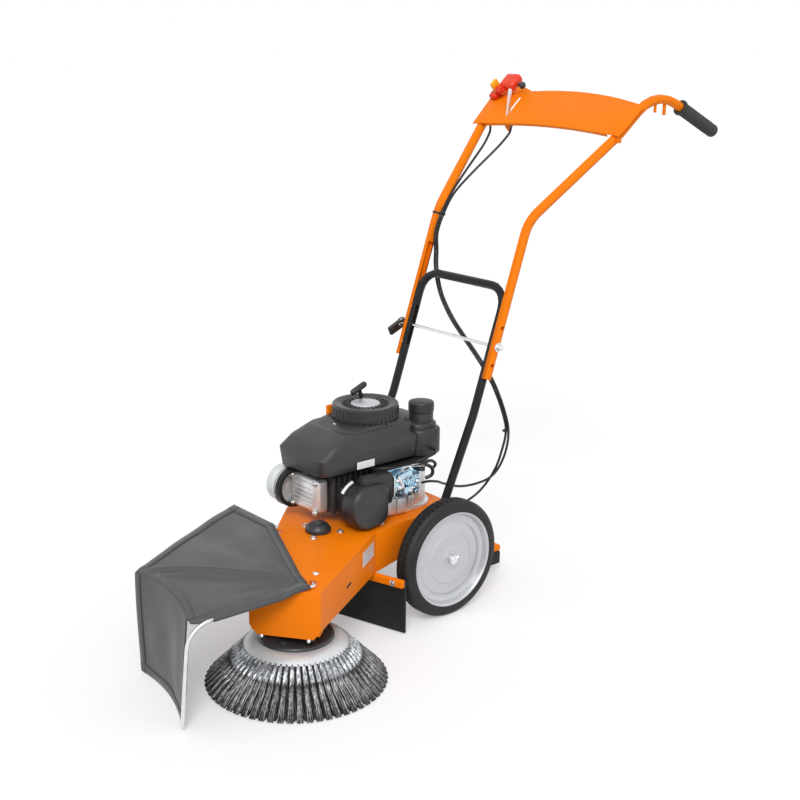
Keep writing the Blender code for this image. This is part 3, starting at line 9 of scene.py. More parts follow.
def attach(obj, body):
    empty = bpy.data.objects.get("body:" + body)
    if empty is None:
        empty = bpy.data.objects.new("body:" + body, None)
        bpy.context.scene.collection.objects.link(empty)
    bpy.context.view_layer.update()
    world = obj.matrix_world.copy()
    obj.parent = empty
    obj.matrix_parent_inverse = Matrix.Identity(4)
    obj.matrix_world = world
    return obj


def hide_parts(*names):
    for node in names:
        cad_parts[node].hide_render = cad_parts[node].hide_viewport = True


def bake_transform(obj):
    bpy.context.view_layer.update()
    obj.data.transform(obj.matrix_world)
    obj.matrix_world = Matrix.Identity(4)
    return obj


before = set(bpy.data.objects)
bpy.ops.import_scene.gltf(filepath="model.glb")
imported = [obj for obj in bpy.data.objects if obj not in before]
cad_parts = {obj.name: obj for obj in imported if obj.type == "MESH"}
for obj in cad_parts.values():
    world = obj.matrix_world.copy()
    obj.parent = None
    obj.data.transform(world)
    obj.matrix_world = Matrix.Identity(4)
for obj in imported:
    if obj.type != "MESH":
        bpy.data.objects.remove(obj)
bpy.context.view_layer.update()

# Places below are in the machine's own frame: X = 0 is its middle, Y = 0 its axle, and the ground is Z = 0.
toFrame = Vector((-0.07358277, -0.01662277, 0))
xAxis = Vector((1, 0, 0))
yAxis = Vector((0, 1, 0))
zAxis = Vector((0, 0, 1))
brushCentre = Vector((0.23, -0.462, 0))

# Camera, at the photograph's place and angle

cameraView = {"place": (2.283, -1.9247, 1.3298), "right": (0.6445, 0.7645, 0.0094),
              "up": (-0.216, 0.1702, 0.9614), "focalPixels": 1320.41, "framePixels": 800, "sensor": 36}


def makeCamera():
    right = Vector(cameraView["right"]).normalized()
    up = Vector(cameraView["up"])
    up = (up - right * up.dot(right)).normalized()
    data = bpy.data.cameras.new("camera")
    data.sensor_width = cameraView["sensor"]
    data.lens = cameraView["focalPixels"] * cameraView["sensor"] / cameraView["framePixels"]
    camera = bpy.data.objects.new("camera", data)
    camera.matrix_world = Matrix((right, up, right.cross(up))).transposed().to_4x4()
    camera.location = Vector(cameraView["place"]) + toFrame
    bpy.context.scene.collection.objects.link(camera)
    bpy.context.scene.camera = camera


makeCamera()
print("camera set")


# Materials: each is a small node tree with its own grain, colour drift and wear

def newMaterial(name, color, roughness, metallic=0.0, **sockets):
    made = bpy.data.materials.new(name)
    made.use_nodes = True
    shader = made.node_tree.nodes["Principled BSDF"]
    shader.inputs["Base Color"].default_value = (*color, 1)
    shader.inputs["Roughness"].default_value = roughness
    shader.inputs["Metallic"].default_value = metallic
    for socket, value in sockets.items():
        shader.inputs[socket.replace("_", " ")].default_value = value
    return made


def addNode(made, kind, **values):
    node = made.node_tree.nodes.new(kind)
    for key, value in values.items():
        if hasattr(node, key):
            setattr(node, key, value)
        else:
            node.inputs[key.replace("_", " ")].default_value = value
    return node


def link(made, a, b):
    made.node_tree.links.new(a, b)


def noiseOf(made, scale, detail=3.0):
    place = addNode(made, "ShaderNodeTexCoord")
    noise = addNode(made, "ShaderNodeTexNoise", Scale=scale, Detail=detail, Roughness=0.55)
    link(made, place.outputs["Object"], noise.inputs["Vector"])
    return noise


def rampOf(made, source, low, high, spots=(0.35, 0.65)):
    # From low to high, each a colour or one grey number
    ramp = addNode(made, "ShaderNodeValToRGB")
    for element, spot, tone in zip(ramp.color_ramp.elements, spots, (low, high)):
        element.position = spot
        element.color = (*tone, 1) if hasattr(tone, "__len__") else (tone, tone, tone, 1)
    link(made, source, ramp.inputs["Fac"])
    return ramp.outputs["Color"]


def shaderOf(made):
    return made.node_tree.nodes["Principled BSDF"]


def bumpFrom(made, height, strength, distance, over=None):
    bump = addNode(made, "ShaderNodeBump", Strength=strength, Distance=distance)
    link(made, height, bump.inputs["Height"])
    if over:
        link(made, over, bump.inputs["Normal"])
    link(made, bump.outputs["Normal"], shaderOf(made).inputs["Normal"])
    return bump.outputs["Normal"]


def driftColor(made, scale, low, high, spots=(0.3, 0.7)):
    drift = rampOf(made, noiseOf(made, scale).outputs["Fac"], low, high, spots)
    link(made, drift, shaderOf(made).inputs["Base Color"])


def driftRoughness(made, scale, low, high):
    drift = rampOf(made, noiseOf(made, scale, 5.0).outputs["Fac"], low, high)
    link(made, drift, shaderOf(made).inputs["Roughness"])


def edgeWear(made, color, worn, amount=0.45, size=0.0012):
    # Bare or rubbed colour on convex edges, broken up by noise
    bevel = addNode(made, "ShaderNodeBevel", samples=4, Radius=size)
    shape = addNode(made, "ShaderNodeNewGeometry")
    dot = addNode(made, "ShaderNodeVectorMath", operation="DOT_PRODUCT")
    link(made, bevel.outputs["Normal"], dot.inputs[0])
    link(made, shape.outputs["Normal"], dot.inputs[1])
    edge = rampOf(made, dot.outputs["Value"], 1.0, 0.0, (0.9, 0.985))
    chips = rampOf(made, noiseOf(made, 60, 4.0).outputs["Fac"], 0.0, amount, (0.48, 0.72))
    both = addNode(made, "ShaderNodeMath", operation="MULTIPLY")
    link(made, edge, both.inputs[0])
    link(made, chips, both.inputs[1])
    mix = addNode(made, "ShaderNodeMix", data_type="RGBA")
    link(made, both.outputs["Value"], mix.inputs[0])
    link(made, color, mix.inputs[6])
    mix.inputs[7].default_value = (*worn, 1)
    link(made, mix.outputs[2], shaderOf(made).inputs["Base Color"])


def powderCoat(name, low, high, worn, roughness, amount):
    # Sprayed and baked paint: a faint orange-peel skin with rubbed edges
    made = newMaterial(name, low, roughness, Specular_IOR_Level=0.14)
    color = rampOf(made, noiseOf(made, 4.0).outputs["Fac"], low, high, (0.3, 0.7))
    edgeWear(made, color, worn, amount)
    driftRoughness(made, 9.0, roughness - 0.05, roughness + 0.08)
    bumpFrom(made, noiseOf(made, 900, 2.0).outputs["Fac"], 0.1, 0.0004)
    return made


def grainedPlastic(name, low, high, roughness, grain=0.22):
    made = newMaterial(name, low, roughness)
    color = rampOf(made, noiseOf(made, 7.0).outputs["Fac"], low, high)
    edgeWear(made, color, tuple(min(1.0, c * 2.2 + 0.01) for c in high), 0.5, 0.0009)
    driftRoughness(made, 12.0, roughness - 0.06, roughness + 0.07)
    bumpFrom(made, noiseOf(made, 1400, 2.0).outputs["Fac"], grain, 0.0003)
    return made


def castAlloy(name, low, high, roughness):
    # Sand-cast metal: pitted, cloudy and a little greasy in the hollows
    made = newMaterial(name, low, roughness, 0.7)
    driftColor(made, 28.0, low, high)
    driftRoughness(made, 16.0, roughness - 0.1, roughness + 0.12)
    bumpFrom(made, noiseOf(made, 700, 6.0).outputs["Fac"], 0.35, 0.0006)
    return made


def platedSteel(name, low, high, roughness):
    made = newMaterial(name, low, roughness, 1.0)
    driftColor(made, 60.0, low, high)
    driftRoughness(made, 90.0, roughness - 0.05, roughness + 0.07)
    bumpFrom(made, noiseOf(made, 900, 2.0).outputs["Fac"], 0.05, 0.0001)
    return made


def fromBrushAxis(made):
    # Object places measured from the brush's own axis, flat on the ground
    place = addNode(made, "ShaderNodeTexCoord")
    axis = brushCentre + toFrame
    centre = addNode(made, "ShaderNodeMapping", Location=(-axis.x, -axis.y, 0), Scale=(1, 1, 0))
    link(made, place.outputs["Object"], centre.inputs["Vector"])
    return centre


# Colours by distance from the brush axis: the bright bands are a painted highlight at the knots' bend, the
# near-black ring after them is painted shade, and the dark tips are dirt
knotLightShadeAndDirtBands = {"from": 0.1, "to": 0.2,
             "bands": ((0.108, (0.16, 0.16, 0.16)), (0.115, (0.52, 0.54, 0.57)), (0.134, (0.66, 0.68, 0.71)),
                       (0.1395, (0.11, 0.11, 0.115)), (0.148, (0.34, 0.34, 0.35)), (0.176, (0.27, 0.265, 0.26)),
                       (0.192, (0.12, 0.115, 0.11)))}


def knotWire(name):
    # Hard wire coloured by distance from the axis: a painted highlight where the knots bend, a ring of painted
    # shade after it, then duller to dirty tips
    made = newMaterial(name, (0.3, 0.3, 0.3), 0.36, 1.0)
    near, far = knotLightShadeAndDirtBands["from"], knotLightShadeAndDirtBands["to"]
    reach = addNode(made, "ShaderNodeVectorMath", operation="LENGTH")
    link(made, fromBrushAxis(made).outputs["Vector"], reach.inputs[0])
    ramp = addNode(made, "ShaderNodeValToRGB")
    spots = ramp.color_ramp.elements
    while len(spots) < len(knotLightShadeAndDirtBands["bands"]):
        spots.new(0.5)
    for spot, (distance, color) in zip(spots, knotLightShadeAndDirtBands["bands"]):
        spot.position = (distance - near) / (far - near)
        spot.color = (*color, 1)
    share = addNode(made, "ShaderNodeMapRange", From_Min=near, From_Max=far)
    link(made, reach.outputs["Value"], share.inputs["Value"])
    link(made, share.outputs["Result"], ramp.inputs["Fac"])
    mix = addNode(made, "ShaderNodeMix", data_type="RGBA", blend_type="MULTIPLY")
    mix.inputs[0].default_value = 1.0
    link(made, ramp.outputs["Color"], mix.inputs[6])
    dirt = rampOf(made, noiseOf(made, 150, 4.0).outputs["Fac"], 0.35, 1.15, (0.35, 0.62))
    link(made, dirt, mix.inputs[7])
    link(made, mix.outputs[2], shaderOf(made).inputs["Base Color"])
    driftRoughness(made, 90.0, 0.4, 0.58)
    return made


def spunSteel(name, low, high, roughness):
    # Rings left by turning: bands by distance from the brush's own axis
    made = newMaterial(name, low, roughness, 0.35)
    centre = fromBrushAxis(made)
    rings = addNode(made, "ShaderNodeTexWave", wave_type="RINGS", rings_direction="SPHERICAL", Scale=110,
                    Distortion=1.5, Detail=3)
    link(made, centre.outputs["Vector"], rings.inputs["Vector"])
    driftColor(made, 14.0, low, high)
    gloss = rampOf(made, rings.outputs["Fac"], roughness - 0.05, roughness + 0.07, (0.2, 0.8))
    link(made, gloss, shaderOf(made).inputs["Roughness"])
    bumpFrom(made, rings.outputs["Fac"], 0.05, 0.0002)
    return made


def satinSilver(name, low, high, roughness):
    # Silver paint or drawn sheet: bright, nearly even, with a soft sheen
    made = newMaterial(name, low, roughness, 0.55)
    driftColor(made, 9.0, low, high)
    driftRoughness(made, 24.0, roughness - 0.04, roughness + 0.06)
    bumpFrom(made, noiseOf(made, 1100, 2.0).outputs["Fac"], 0.06, 0.0002)
    return made


def oldRubber(name, low, high, roughness, grain=0.3):
    made = newMaterial(name, low, roughness, Specular_IOR_Level=0.36)
    driftColor(made, 22.0, low, high)
    driftRoughness(made, 18.0, roughness - 0.08, roughness + 0.06)
    bumpFrom(made, noiseOf(made, 900, 4.0).outputs["Fac"], grain, 0.0004)
    return made


def coatedWeave(name, low, high):
    # PVC-coated cloth: threads show through the coating along both directions of the sheet's own UV
    made = newMaterial(name, low, 0.5, Sheen_Weight=0.06, Sheen_Roughness=0.4)
    uv = addNode(made, "ShaderNodeUVMap", uv_map="weave")
    threads = []
    for direction in ("X", "Y"):
        wave = addNode(made, "ShaderNodeTexWave", bands_direction=direction, Scale=120, Distortion=0.6,
                       Detail=1)
        link(made, uv.outputs["UV"], wave.inputs["Vector"])
        threads.append(wave.outputs["Fac"])
    cross = addNode(made, "ShaderNodeMath", operation="MULTIPLY")
    link(made, threads[0], cross.inputs[0])
    link(made, threads[1], cross.inputs[1])
    driftColor(made, 6.0, low, high, (0.25, 0.75))
    driftRoughness(made, 10.0, 0.42, 0.58)
    fine = bumpFrom(made, cross.outputs["Value"], 0.22, 0.0004)
    bumpFrom(made, noiseOf(made, 38, 4.0).outputs["Fac"], 0.18, 0.0022, fine)
    return made


finishes = {
    "orange": powderCoat("orangePaint",
                         (0.87, 0.196, 0.0008), (0.93, 0.216, 0.001), (0.93, 0.42, 0.14), 0.44, 0.18),
    "black": powderCoat("blackPaint",
                        (0.016, 0.0165, 0.018), (0.026, 0.0265, 0.029), (0.13, 0.13, 0.135), 0.34, 0.45),
    "cover": grainedPlastic("coverPlastic", (0.028, 0.0285, 0.0305), (0.037, 0.038, 0.041), 0.42),
    "trim": grainedPlastic("trimPlastic", (0.014, 0.0145, 0.016), (0.024, 0.0245, 0.027), 0.38, 0.12),
    "alloy": castAlloy("castAlloy", (0.66, 0.66, 0.67), (0.84, 0.84, 0.85), 0.42),
    "darkAlloy": castAlloy("darkCasting", (0.05, 0.05, 0.053), (0.1, 0.1, 0.105), 0.5),
    "carrier": grainedPlastic("carrierPaint", (0.03, 0.031, 0.033), (0.045, 0.046, 0.048), 0.3, 0.05),
    "zinc": platedSteel("zincPlate", (0.74, 0.75, 0.77), (0.84, 0.85, 0.87), 0.26),
    "blueZinc": platedSteel("blueZinc", (0.32, 0.58, 0.74), (0.66, 0.8, 0.9), 0.24),
    "dish": spunSteel("spunDish", (0.66, 0.69, 0.71), (0.74, 0.77, 0.79), 0.36),
    "wire": knotWire("brushWire"),
    # Near-black wire of the inner row: painted shade between the outer knots
    "wireDark": castAlloy("innerWireShade", (0.02, 0.019, 0.018), (0.045, 0.043, 0.04), 0.55),
    "rim": satinSilver("silverRim", (0.53, 0.54, 0.56), (0.61, 0.62, 0.64), 0.32),
    "muffler": satinSilver("heatedSteel", (0.66, 0.68, 0.68), (0.74, 0.76, 0.76), 0.46),
    "rubber": oldRubber("blackRubber", (0.005, 0.005, 0.005), (0.01, 0.01, 0.0105), 0.62),
    "tyre": oldRubber("tyreRubber", (0.009, 0.009, 0.0095), (0.02, 0.02, 0.021), 0.56, 0.4),
    "grip": oldRubber("gripRubber", (0.024, 0.025, 0.027), (0.04, 0.041, 0.044), 0.6, 0.5),
    "sleeve": oldRubber("cableSleeve", (0.013, 0.013, 0.014), (0.022, 0.022, 0.024), 0.42, 0.1),
    "cloth": coatedWeave("tarpaulin", (0.058, 0.06, 0.062), (0.078, 0.08, 0.083)),
    "red": grainedPlastic("redPlastic", (0.7, 0.026, 0.004), (0.78, 0.038, 0.006), 0.34, 0.06),
    "yellow": grainedPlastic("yellowPlastic", (0.86, 0.42, 0.006), (0.9, 0.47, 0.012), 0.34, 0.06),
    "bare": satinSilver("barePlate", (0.74, 0.75, 0.76), (0.82, 0.83, 0.84), 0.38),
    "pale": grainedPlastic("paleLaminate", (0.8, 0.8, 0.8), (0.86, 0.86, 0.86), 0.3, 0.03),
    # Near-black for slots and holes: painted shade inside them
    "dark": newMaterial("holeShade", (0.006, 0.006, 0.006), 0.85),
}
print("materials made", len(finishes))


# Making pieces: each works in the machine's frame, and finishPiece puts it in the model's

def joinTo(work, part, centre=(0, 0, 0), turn=None):
    # Turns a shape, moves it to its centre and adds it to the piece
    if turn is not None:
        bmesh.ops.rotate(part, verts=part.verts[:], cent=(0, 0, 0), matrix=turn)
    bmesh.ops.translate(part, verts=part.verts[:], vec=Vector(centre))
    mesh = bpy.data.meshes.new("part")
    part.to_mesh(mesh)
    part.free()
    work.from_mesh(mesh)
    bpy.data.meshes.remove(mesh)


def turned(angle, axis="Z"):
    # A turn about one axis of the frame
    return Matrix.Rotation(angle, 3, axis)


def along(direction, roll=0.0):
    # The turn that lays a shape's upright axis along a direction
    return Vector(direction).normalized().to_track_quat("Z", "Y").to_matrix() @ turned(roll)


def roundAngles(count):
    # Even steps round a full circle
    return [2 * pi * k / count for k in range(count)]


def atAngle(radius, angle, height=0.0):
    # A place on a circle round the upright axis
    return Vector((radius * cos(angle), radius * sin(angle), height))


def bevelEdges(part, edges, width, segments):
    bmesh.ops.bevel(part, geom=edges, offset=width, offset_type="OFFSET", affect="EDGES", segments=segments,
                    profile=0.5, material=-1, clamp_overlap=True)


def bevelSharp(part, width, segments=2, above=30):
    # Rounds the edges where two faces meet at more than so many degrees
    edges = [e for e in part.edges if len(e.link_faces) == 2 and e.calc_face_angle(0) > radians(above)]
    if edges:
        bevelEdges(part, edges, width, segments)


def newBox(size):
    part = bmesh.new()
    bmesh.ops.create_cube(part, size=1.0)
    bmesh.ops.scale(part, verts=part.verts[:], vec=Vector(size))
    return part


def addBlock(work, size, centre, bevel, segments=1, turn=None):
    part = newBox(size)
    bevelSharp(part, bevel, segments)
    joinTo(work, part, centre, turn)


def addSlab(work, size, centre, corner, bevel=0.002, segments=2, turn=None):
    # A block with well-rounded upright corners
    part = newBox(size)
    upright = [e for e in part.edges if abs(e.verts[0].co.z - e.verts[1].co.z) > 1e-6]
    bevelEdges(part, upright, corner, 8)
    bevelSharp(part, bevel, segments, 50)
    joinTo(work, part, centre, turn)


def addRound(work, radius, length, centre, direction, sides=32, bevel=0.0008, roll=0.0):
    part = bmesh.new()
    bmesh.ops.create_cone(part, cap_ends=True, segments=sides, radius1=radius, radius2=radius, depth=length)
    bevelSharp(part, bevel, 2, 50)
    joinTo(work, part, centre, along(direction, roll))


def addSpin(work, profile, centre, direction=zAxis, steps=64):
    # A profile of (radius, height) pairs turned round an axis
    part = bmesh.new()
    points = [part.verts.new((r, 0, z)) for r, z in profile]
    edges = [part.edges.new(pair) for pair in zip(points, points[1:])]
    bmesh.ops.spin(part, geom=points + edges, cent=(0, 0, 0), axis=(0, 0, 1), angle=2 * pi, steps=steps,
                   use_merge=True)
    bmesh.ops.remove_doubles(part, verts=part.verts[:], dist=0.00001)
    joinTo(work, part, centre, along(direction))


def addTube(work, points, radius, sides=4):
    # A round bar along a line of points: a bevelled curve, made a mesh
    data = bpy.data.curves.new("route", "CURVE")
    data.dimensions = "3D"
    data.bevel_depth = radius
    data.bevel_resolution = sides
    data.use_fill_caps = True
    spline = data.splines.new("POLY")
    spline.points.add(len(points) - 1)
    for point, co in zip(spline.points, points):
        point.co = (*co, 1)
    route = bpy.data.objects.new("route", data)
    bpy.context.scene.collection.objects.link(route)
    bpy.context.view_layer.update()
    mesh = bpy.data.meshes.new_from_object(route.evaluated_get(bpy.context.evaluated_depsgraph_get()))
    bpy.data.objects.remove(route)
    bpy.data.curves.remove(data)
    part = bmesh.new()
    part.from_mesh(mesh)
    bpy.data.meshes.remove(mesh)
    bmesh.ops.remove_doubles(part, verts=part.verts[:], dist=0.00001)
    joinTo(work, part)


def addHexHead(work, centre, direction, size, height, washer=True, roll=0.3):
    # A hexagon head on its washer, standing on a surface
    direction = Vector(direction).normalized()
    centre = Vector(centre)
    if washer:
        addRound(work, size * 1.45, 0.0014, centre + direction * 0.0007, direction, 20, 0.0003)
    lift = height / 2 + (0.0012 if washer else 0)
    addRound(work, size, height, centre + direction * lift, direction, 6, 0.0006, roll)


def addDomeHead(work, centre, direction, size, height):
    # A low round head, from five rings of its dome
    profile = [(0, height)] + [(size * sin(a), height * cos(a)) for a in (pi / 10 * k for k in range(1, 5))]
    addSpin(work, profile + [(size, 0), (0, 0)], centre, direction, 20)


def smoothRoute(points, parts=6):
    # A smooth line through every point, so many parts from one to the next
    points = [Vector(p) for p in points]
    ends = [points[0] * 2 - points[1], *points, points[-1] * 2 - points[-2]]
    route = [points[0]]
    for a, b, c, d in zip(ends, ends[1:], ends[2:], ends[3:]):
        for k in range(1, parts + 1):
            t = k / parts
            route.append(0.5 * (2 * b + (c - a) * t + (2 * a - 5 * b + 4 * c - d) * t ** 2
                                + (3 * b - a - 3 * c + d) * t ** 3))
    return route


def roundedRoute(points, radii, steps):
    # Straight runs joined by arcs
    points = [Vector(p) for p in points]
    route = [points[0]]
    for before, here, after, radius in zip(points, points[1:], points[2:], radii):
        a = (before - here).normalized()
        b = (after - here).normalized()
        half = a.angle(b) / 2
        cut = radius / tan(half)
        centre = here + (a + b).normalized() * (radius / sin(half))
        first = here + a * cut - centre
        last = here + b * cut - centre
        turn = first.angle(last)
        for k in range(steps + 1):
            t = k / steps
            route.append(centre + (first * sin((1 - t) * turn) + last * sin(t * turn)) / sin(turn))
    return route + [points[-1]]


def finishPiece(name, work, finish, *nodes, body="machine", slot=None, smooth=35):
    # Makes the object, gives it its finish and hides the CAD nodes it stands for
    bmesh.ops.translate(work, verts=work.verts[:], vec=toFrame)
    bmesh.ops.remove_doubles(work, verts=work.verts[:], dist=0.000002)
    bmesh.ops.recalc_face_normals(work, faces=work.faces[:])
    mesh = bpy.data.meshes.new(name)
    work.to_mesh(mesh)
    work.free()
    mesh.shade_smooth()
    mesh.set_sharp_from_angle(angle=radians(smooth))
    mesh.materials.append(finishes[finish])
    piece = bpy.data.objects.new(name, mesh)
    bpy.context.scene.collection.objects.link(piece)
    if body:
        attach(piece, body)
    if nodes:
        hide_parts(*nodes)
    return piece


def dressNodes(finish, *names):
    # CAD nodes that stay get their finish
    for name in names:
        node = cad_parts[name]
        node.data.materials.clear()
        node.data.materials.append(finishes[finish])


def copyNode(name):
    # A CAD node's mesh with its doubles merged and its flat faces made whole, still in the model's frame
    work = bmesh.new()
    work.from_mesh(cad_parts[name].data)
    bmesh.ops.remove_doubles(work, verts=work.verts[:], dist=0.00001)
    bmesh.ops.dissolve_limit(work, angle_limit=radians(1), verts=work.verts[:], edges=work.edges[:])
    return work


def softenNode(name, finish, width, segments=2, above=25, body="machine", slot=None):
    # A copy of a CAD node with its sharp folds and corners eased
    work = copyNode(name)
    bevelSharp(work, width, segments, above)
    bmesh.ops.translate(work, verts=work.verts[:], vec=-toFrame)
    finishPiece(name + "_skin", work, finish, name, body=body, slot=slot, smooth=40)


# Shared lines of the machine

legs = {"kneeY": 0.1118, "kneeZ": 0.45, "upperSlope": radians(71.3), "lowerSlope": radians(66.3)}
legAlong = Vector((0, cos(legs["upperSlope"]), sin(legs["upperSlope"])))


def legY(z):
    # Where the handle's and the frame's tubes are at a height, below and above their knee
    slope = legs["upperSlope"] if z > legs["kneeZ"] else legs["lowerSlope"]
    return legs["kneeY"] + (z - legs["kneeZ"]) / tan(slope)


panelPlane = {"bendZ": 0.8925, "slope": radians(41.7)}
panelUp = Vector((0, cos(panelPlane["slope"]), sin(panelPlane["slope"])))
panelOut = Vector((0, -sin(panelPlane["slope"]), cos(panelPlane["slope"])))
panelStart = Vector((0, legY(panelPlane["bendZ"]), panelPlane["bendZ"]))
panelTurn = Matrix((xAxis, panelUp, panelOut)).transposed()


def onPanel(x, s, off):
    # A place x across the panel, s up its slope and off in front of it
    return panelStart + xAxis * x + panelUp * s + panelOut * off


# Wheels: a ribbed solid tyre on a pressed silver rim

wheel = {"radius": 0.14, "track": 0.37}


def wheelCentre(side):
    return Vector((side * wheel["track"] / 2, 0, wheel["radius"]))


# The side's half section, then the groove between its two tread bands, as (radius, distance from the middle)
tyre = {"steps": 120, "ribDepth": 0.0022, "ribFrame": 0.0012, "bandsFrom": 0.0045,
        "side": ((0.1122, 0.0205), (0.114, 0.0228), (0.118, 0.024), (0.1225, 0.0234), (0.1235, 0.0224),
                 (0.129, 0.022), (0.134, 0.0202), (0.1378, 0.0168), (0.1396, 0.0128), (0.14, 0.0105)),
        "groove": ((0.14, 0.004), (0.1374, 0.0026), (0.1374, -0.0026), (0.14, -0.004))}


def makeTyre(side, name):
    work = bmesh.new()
    farSide = [(r, -z) for r, z in tyre["side"][::-1]]
    addSpin(work, [*tyre["side"], *tyre["groove"], *farSide], (0, 0, 0), xAxis * side, tyre["steps"])
    # Every second step of the two tread bands is pressed in, which leaves the ribs
    pressed = []
    for face in work.faces:
        centre = face.calc_center_median()
        reach = Vector((0, centre.y, centre.z))
        angle = yAxis.angle(reach) if centre.z >= 0 else 2 * pi - yAxis.angle(reach)
        onBand = reach.length > wheel["radius"] - tyre["ribFrame"] and abs(centre.x) > tyre["bandsFrom"]
        if onBand and int(angle / (2 * pi) * tyre["steps"]) % 2:
            pressed.append(face)
    bmesh.ops.inset_individual(work, faces=pressed, thickness=tyre["ribFrame"], depth=0.0)
    for v in {v for face in pressed for v in face.verts}:
        v.co -= Vector((0, v.co.y, v.co.z)).normalized() * tyre["ribDepth"]
    bmesh.ops.translate(work, verts=work.verts[:], vec=wheelCentre(side))
    finishPiece("tyre_tread_" + name, work, "tyre", "tyre_" + name, body="wheel_" + name)


rim = {"steps": 96,
       "outside": ((0.1115, -0.02), (0.1115, 0.0195), (0.1128, 0.0222), (0.1132, 0.0236), (0.112, 0.0244),
                   (0.1096, 0.0234), (0.1078, 0.0206), (0.1062, 0.015), (0.104, 0.0095), (0.101, 0.0076),
                   (0.0955, 0.0068), (0.09, 0.0074), (0.0878, 0.0084), (0.086, 0.0098), (0.082, 0.0104),
                   (0.064, 0.0112), (0.0616, 0.0118), (0.06, 0.0132), (0.04, 0.0142), (0.027, 0.0142),
                   (0.0246, 0.015), (0.0232, 0.0158), (0.0212, 0.016), (0.0204, 0.0166), (0.02, 0.018),
                   (0.0122, 0.0186), (0.012, 0.0194), (0.0119, 0.0242), (0.011, 0.025), (0.0088, 0.025)),
       "inside": ((0.0088, -0.0235), (0.0196, -0.0235), (0.02, 0.005), (0.056, 0.0082), (0.08, 0.0068),
                  (0.0868, 0.0022), (0.09, 0.0), (0.099, -0.0006), (0.103, -0.005), (0.105, -0.018),
                  (0.1075, -0.0205), (0.1115, -0.02))}


def makeRim(side, name):
    work = bmesh.new()
    addSpin(work, rim["outside"] + rim["inside"], wheelCentre(side), xAxis * side, rim["steps"])
    finishPiece("rim_disc_" + name, work, "rim", "rim_" + name, body="wheel_" + name)


axleEnd = {"out": 0.025, "washer": (0.0112, 0.0014), "pinR": 0.0009,
           "tip": ((0, 0.003), (0.006, 0.0029), (0.0072, 0.0022), (0.0074, 0.0014), (0.0074, 0), (0, 0)),
           "pin": ((0.0022, -0.0105, -0.004), (0.0022, 0.0105, 0.004), (0.0012, 0.012, 0.0085))}


def makeAxleEnd(side, name):
    # The axle's turned end with its washer and spring pin, outside the hub
    out = xAxis * side
    at = wheelCentre(side) + out * axleEnd["out"]
    radius, thick = axleEnd["washer"]
    work = bmesh.new()
    addRound(work, radius, thick, at + out * thick / 2, out, 32, 0.0004)
    addSpin(work, axleEnd["tip"], at, out, 32)
    addTube(work, [at + out * x + Vector((0, y, z)) for x, y, z in axleEnd["pin"]], axleEnd["pinR"], 3)
    finishPiece("axle_pin_" + name, work, "zinc", body="wheel_" + name)


for wheelSide, wheelName in ((1, "left"), (-1, "right")):
    makeTyre(wheelSide, wheelName)
    makeRim(wheelSide, wheelName)
    makeAxleEnd(wheelSide, wheelName)
dressNodes("zinc", "axle")
print("wheels made")


# Brush: spun dish, clamping disc and twisted wire knots that fray where they sweep

brush = {"radius": 0.1895, "rootR": 0.1105, "rootZ": 0.0836, "slope": radians(46.2), "knots": 60, "forms": 5,
         "firstTurn": 0.375, "wires": 7, "twistR": 0.0034, "wireR": 0.00185, "coreR": 0.0004, "twisted": 0.66,
         "turns": 2.6, "spread": 0.0026, "sunk": 0.004, "steps": 14, "lowest": 0.0012}
innerRow = {"behind": 0.0085, "wires": 3, "wireR": 0.0024, "sway": 0.0024, "lowest": 0.002,
            "stations": (0.0, 0.35, 0.7, 1.0)}
knotRing = {"steps": 120, "section": ((0.0008, 0.012), (0.0008, 0.007), (-0.005, 0.007), (-0.005, 0.012))}
knotAlong = Vector((cos(brush["slope"]), -sin(brush["slope"])))
knotOut = Vector((sin(brush["slope"]), cos(brush["slope"])))
knotRoot = Vector((brush["rootR"], brush["rootZ"]))
knotReach = (brush["radius"] - brush["rootR"]) / knotAlong.x


def knotForm(form):
    # One knot along its own line: wires twisted round a core, which come loose towards the tip
    work = bmesh.new()
    outer = brush["wires"] - 1
    for k in range(brush["wires"]):
        phase = 2 * pi * k / outer + form * 1.1
        radius = brush["twistR"] if k < outer else brush["coreR"]
        fray = 0.4 + 0.6 * ((k * 37 + form * 17) % 10) / 10
        points = []
        for step in range(brush["steps"] + 1):
            t = step / brush["steps"]
            loose = max(0.0, (t - brush["twisted"]) / (1 - brush["twisted"]))
            a = phase + 2 * pi * brush["turns"] * min(t, brush["twisted"])
            r = radius * (0.55 + 0.45 * min(1.0, t * 6)) + brush["spread"] * loose ** 1.3 * fray
            point = knotRoot + knotAlong * ((knotReach + brush["sunk"]) * t - brush["sunk"])
            point += knotOut * (r * 0.72 * sin(a))
            points.append(Vector((point.x, r * cos(a), max(point.y, brush["lowest"]))))
        addTube(work, points, brush["wireR"], 1)
    mesh = bpy.data.meshes.new("knot")
    work.to_mesh(mesh)
    work.free()
    return mesh


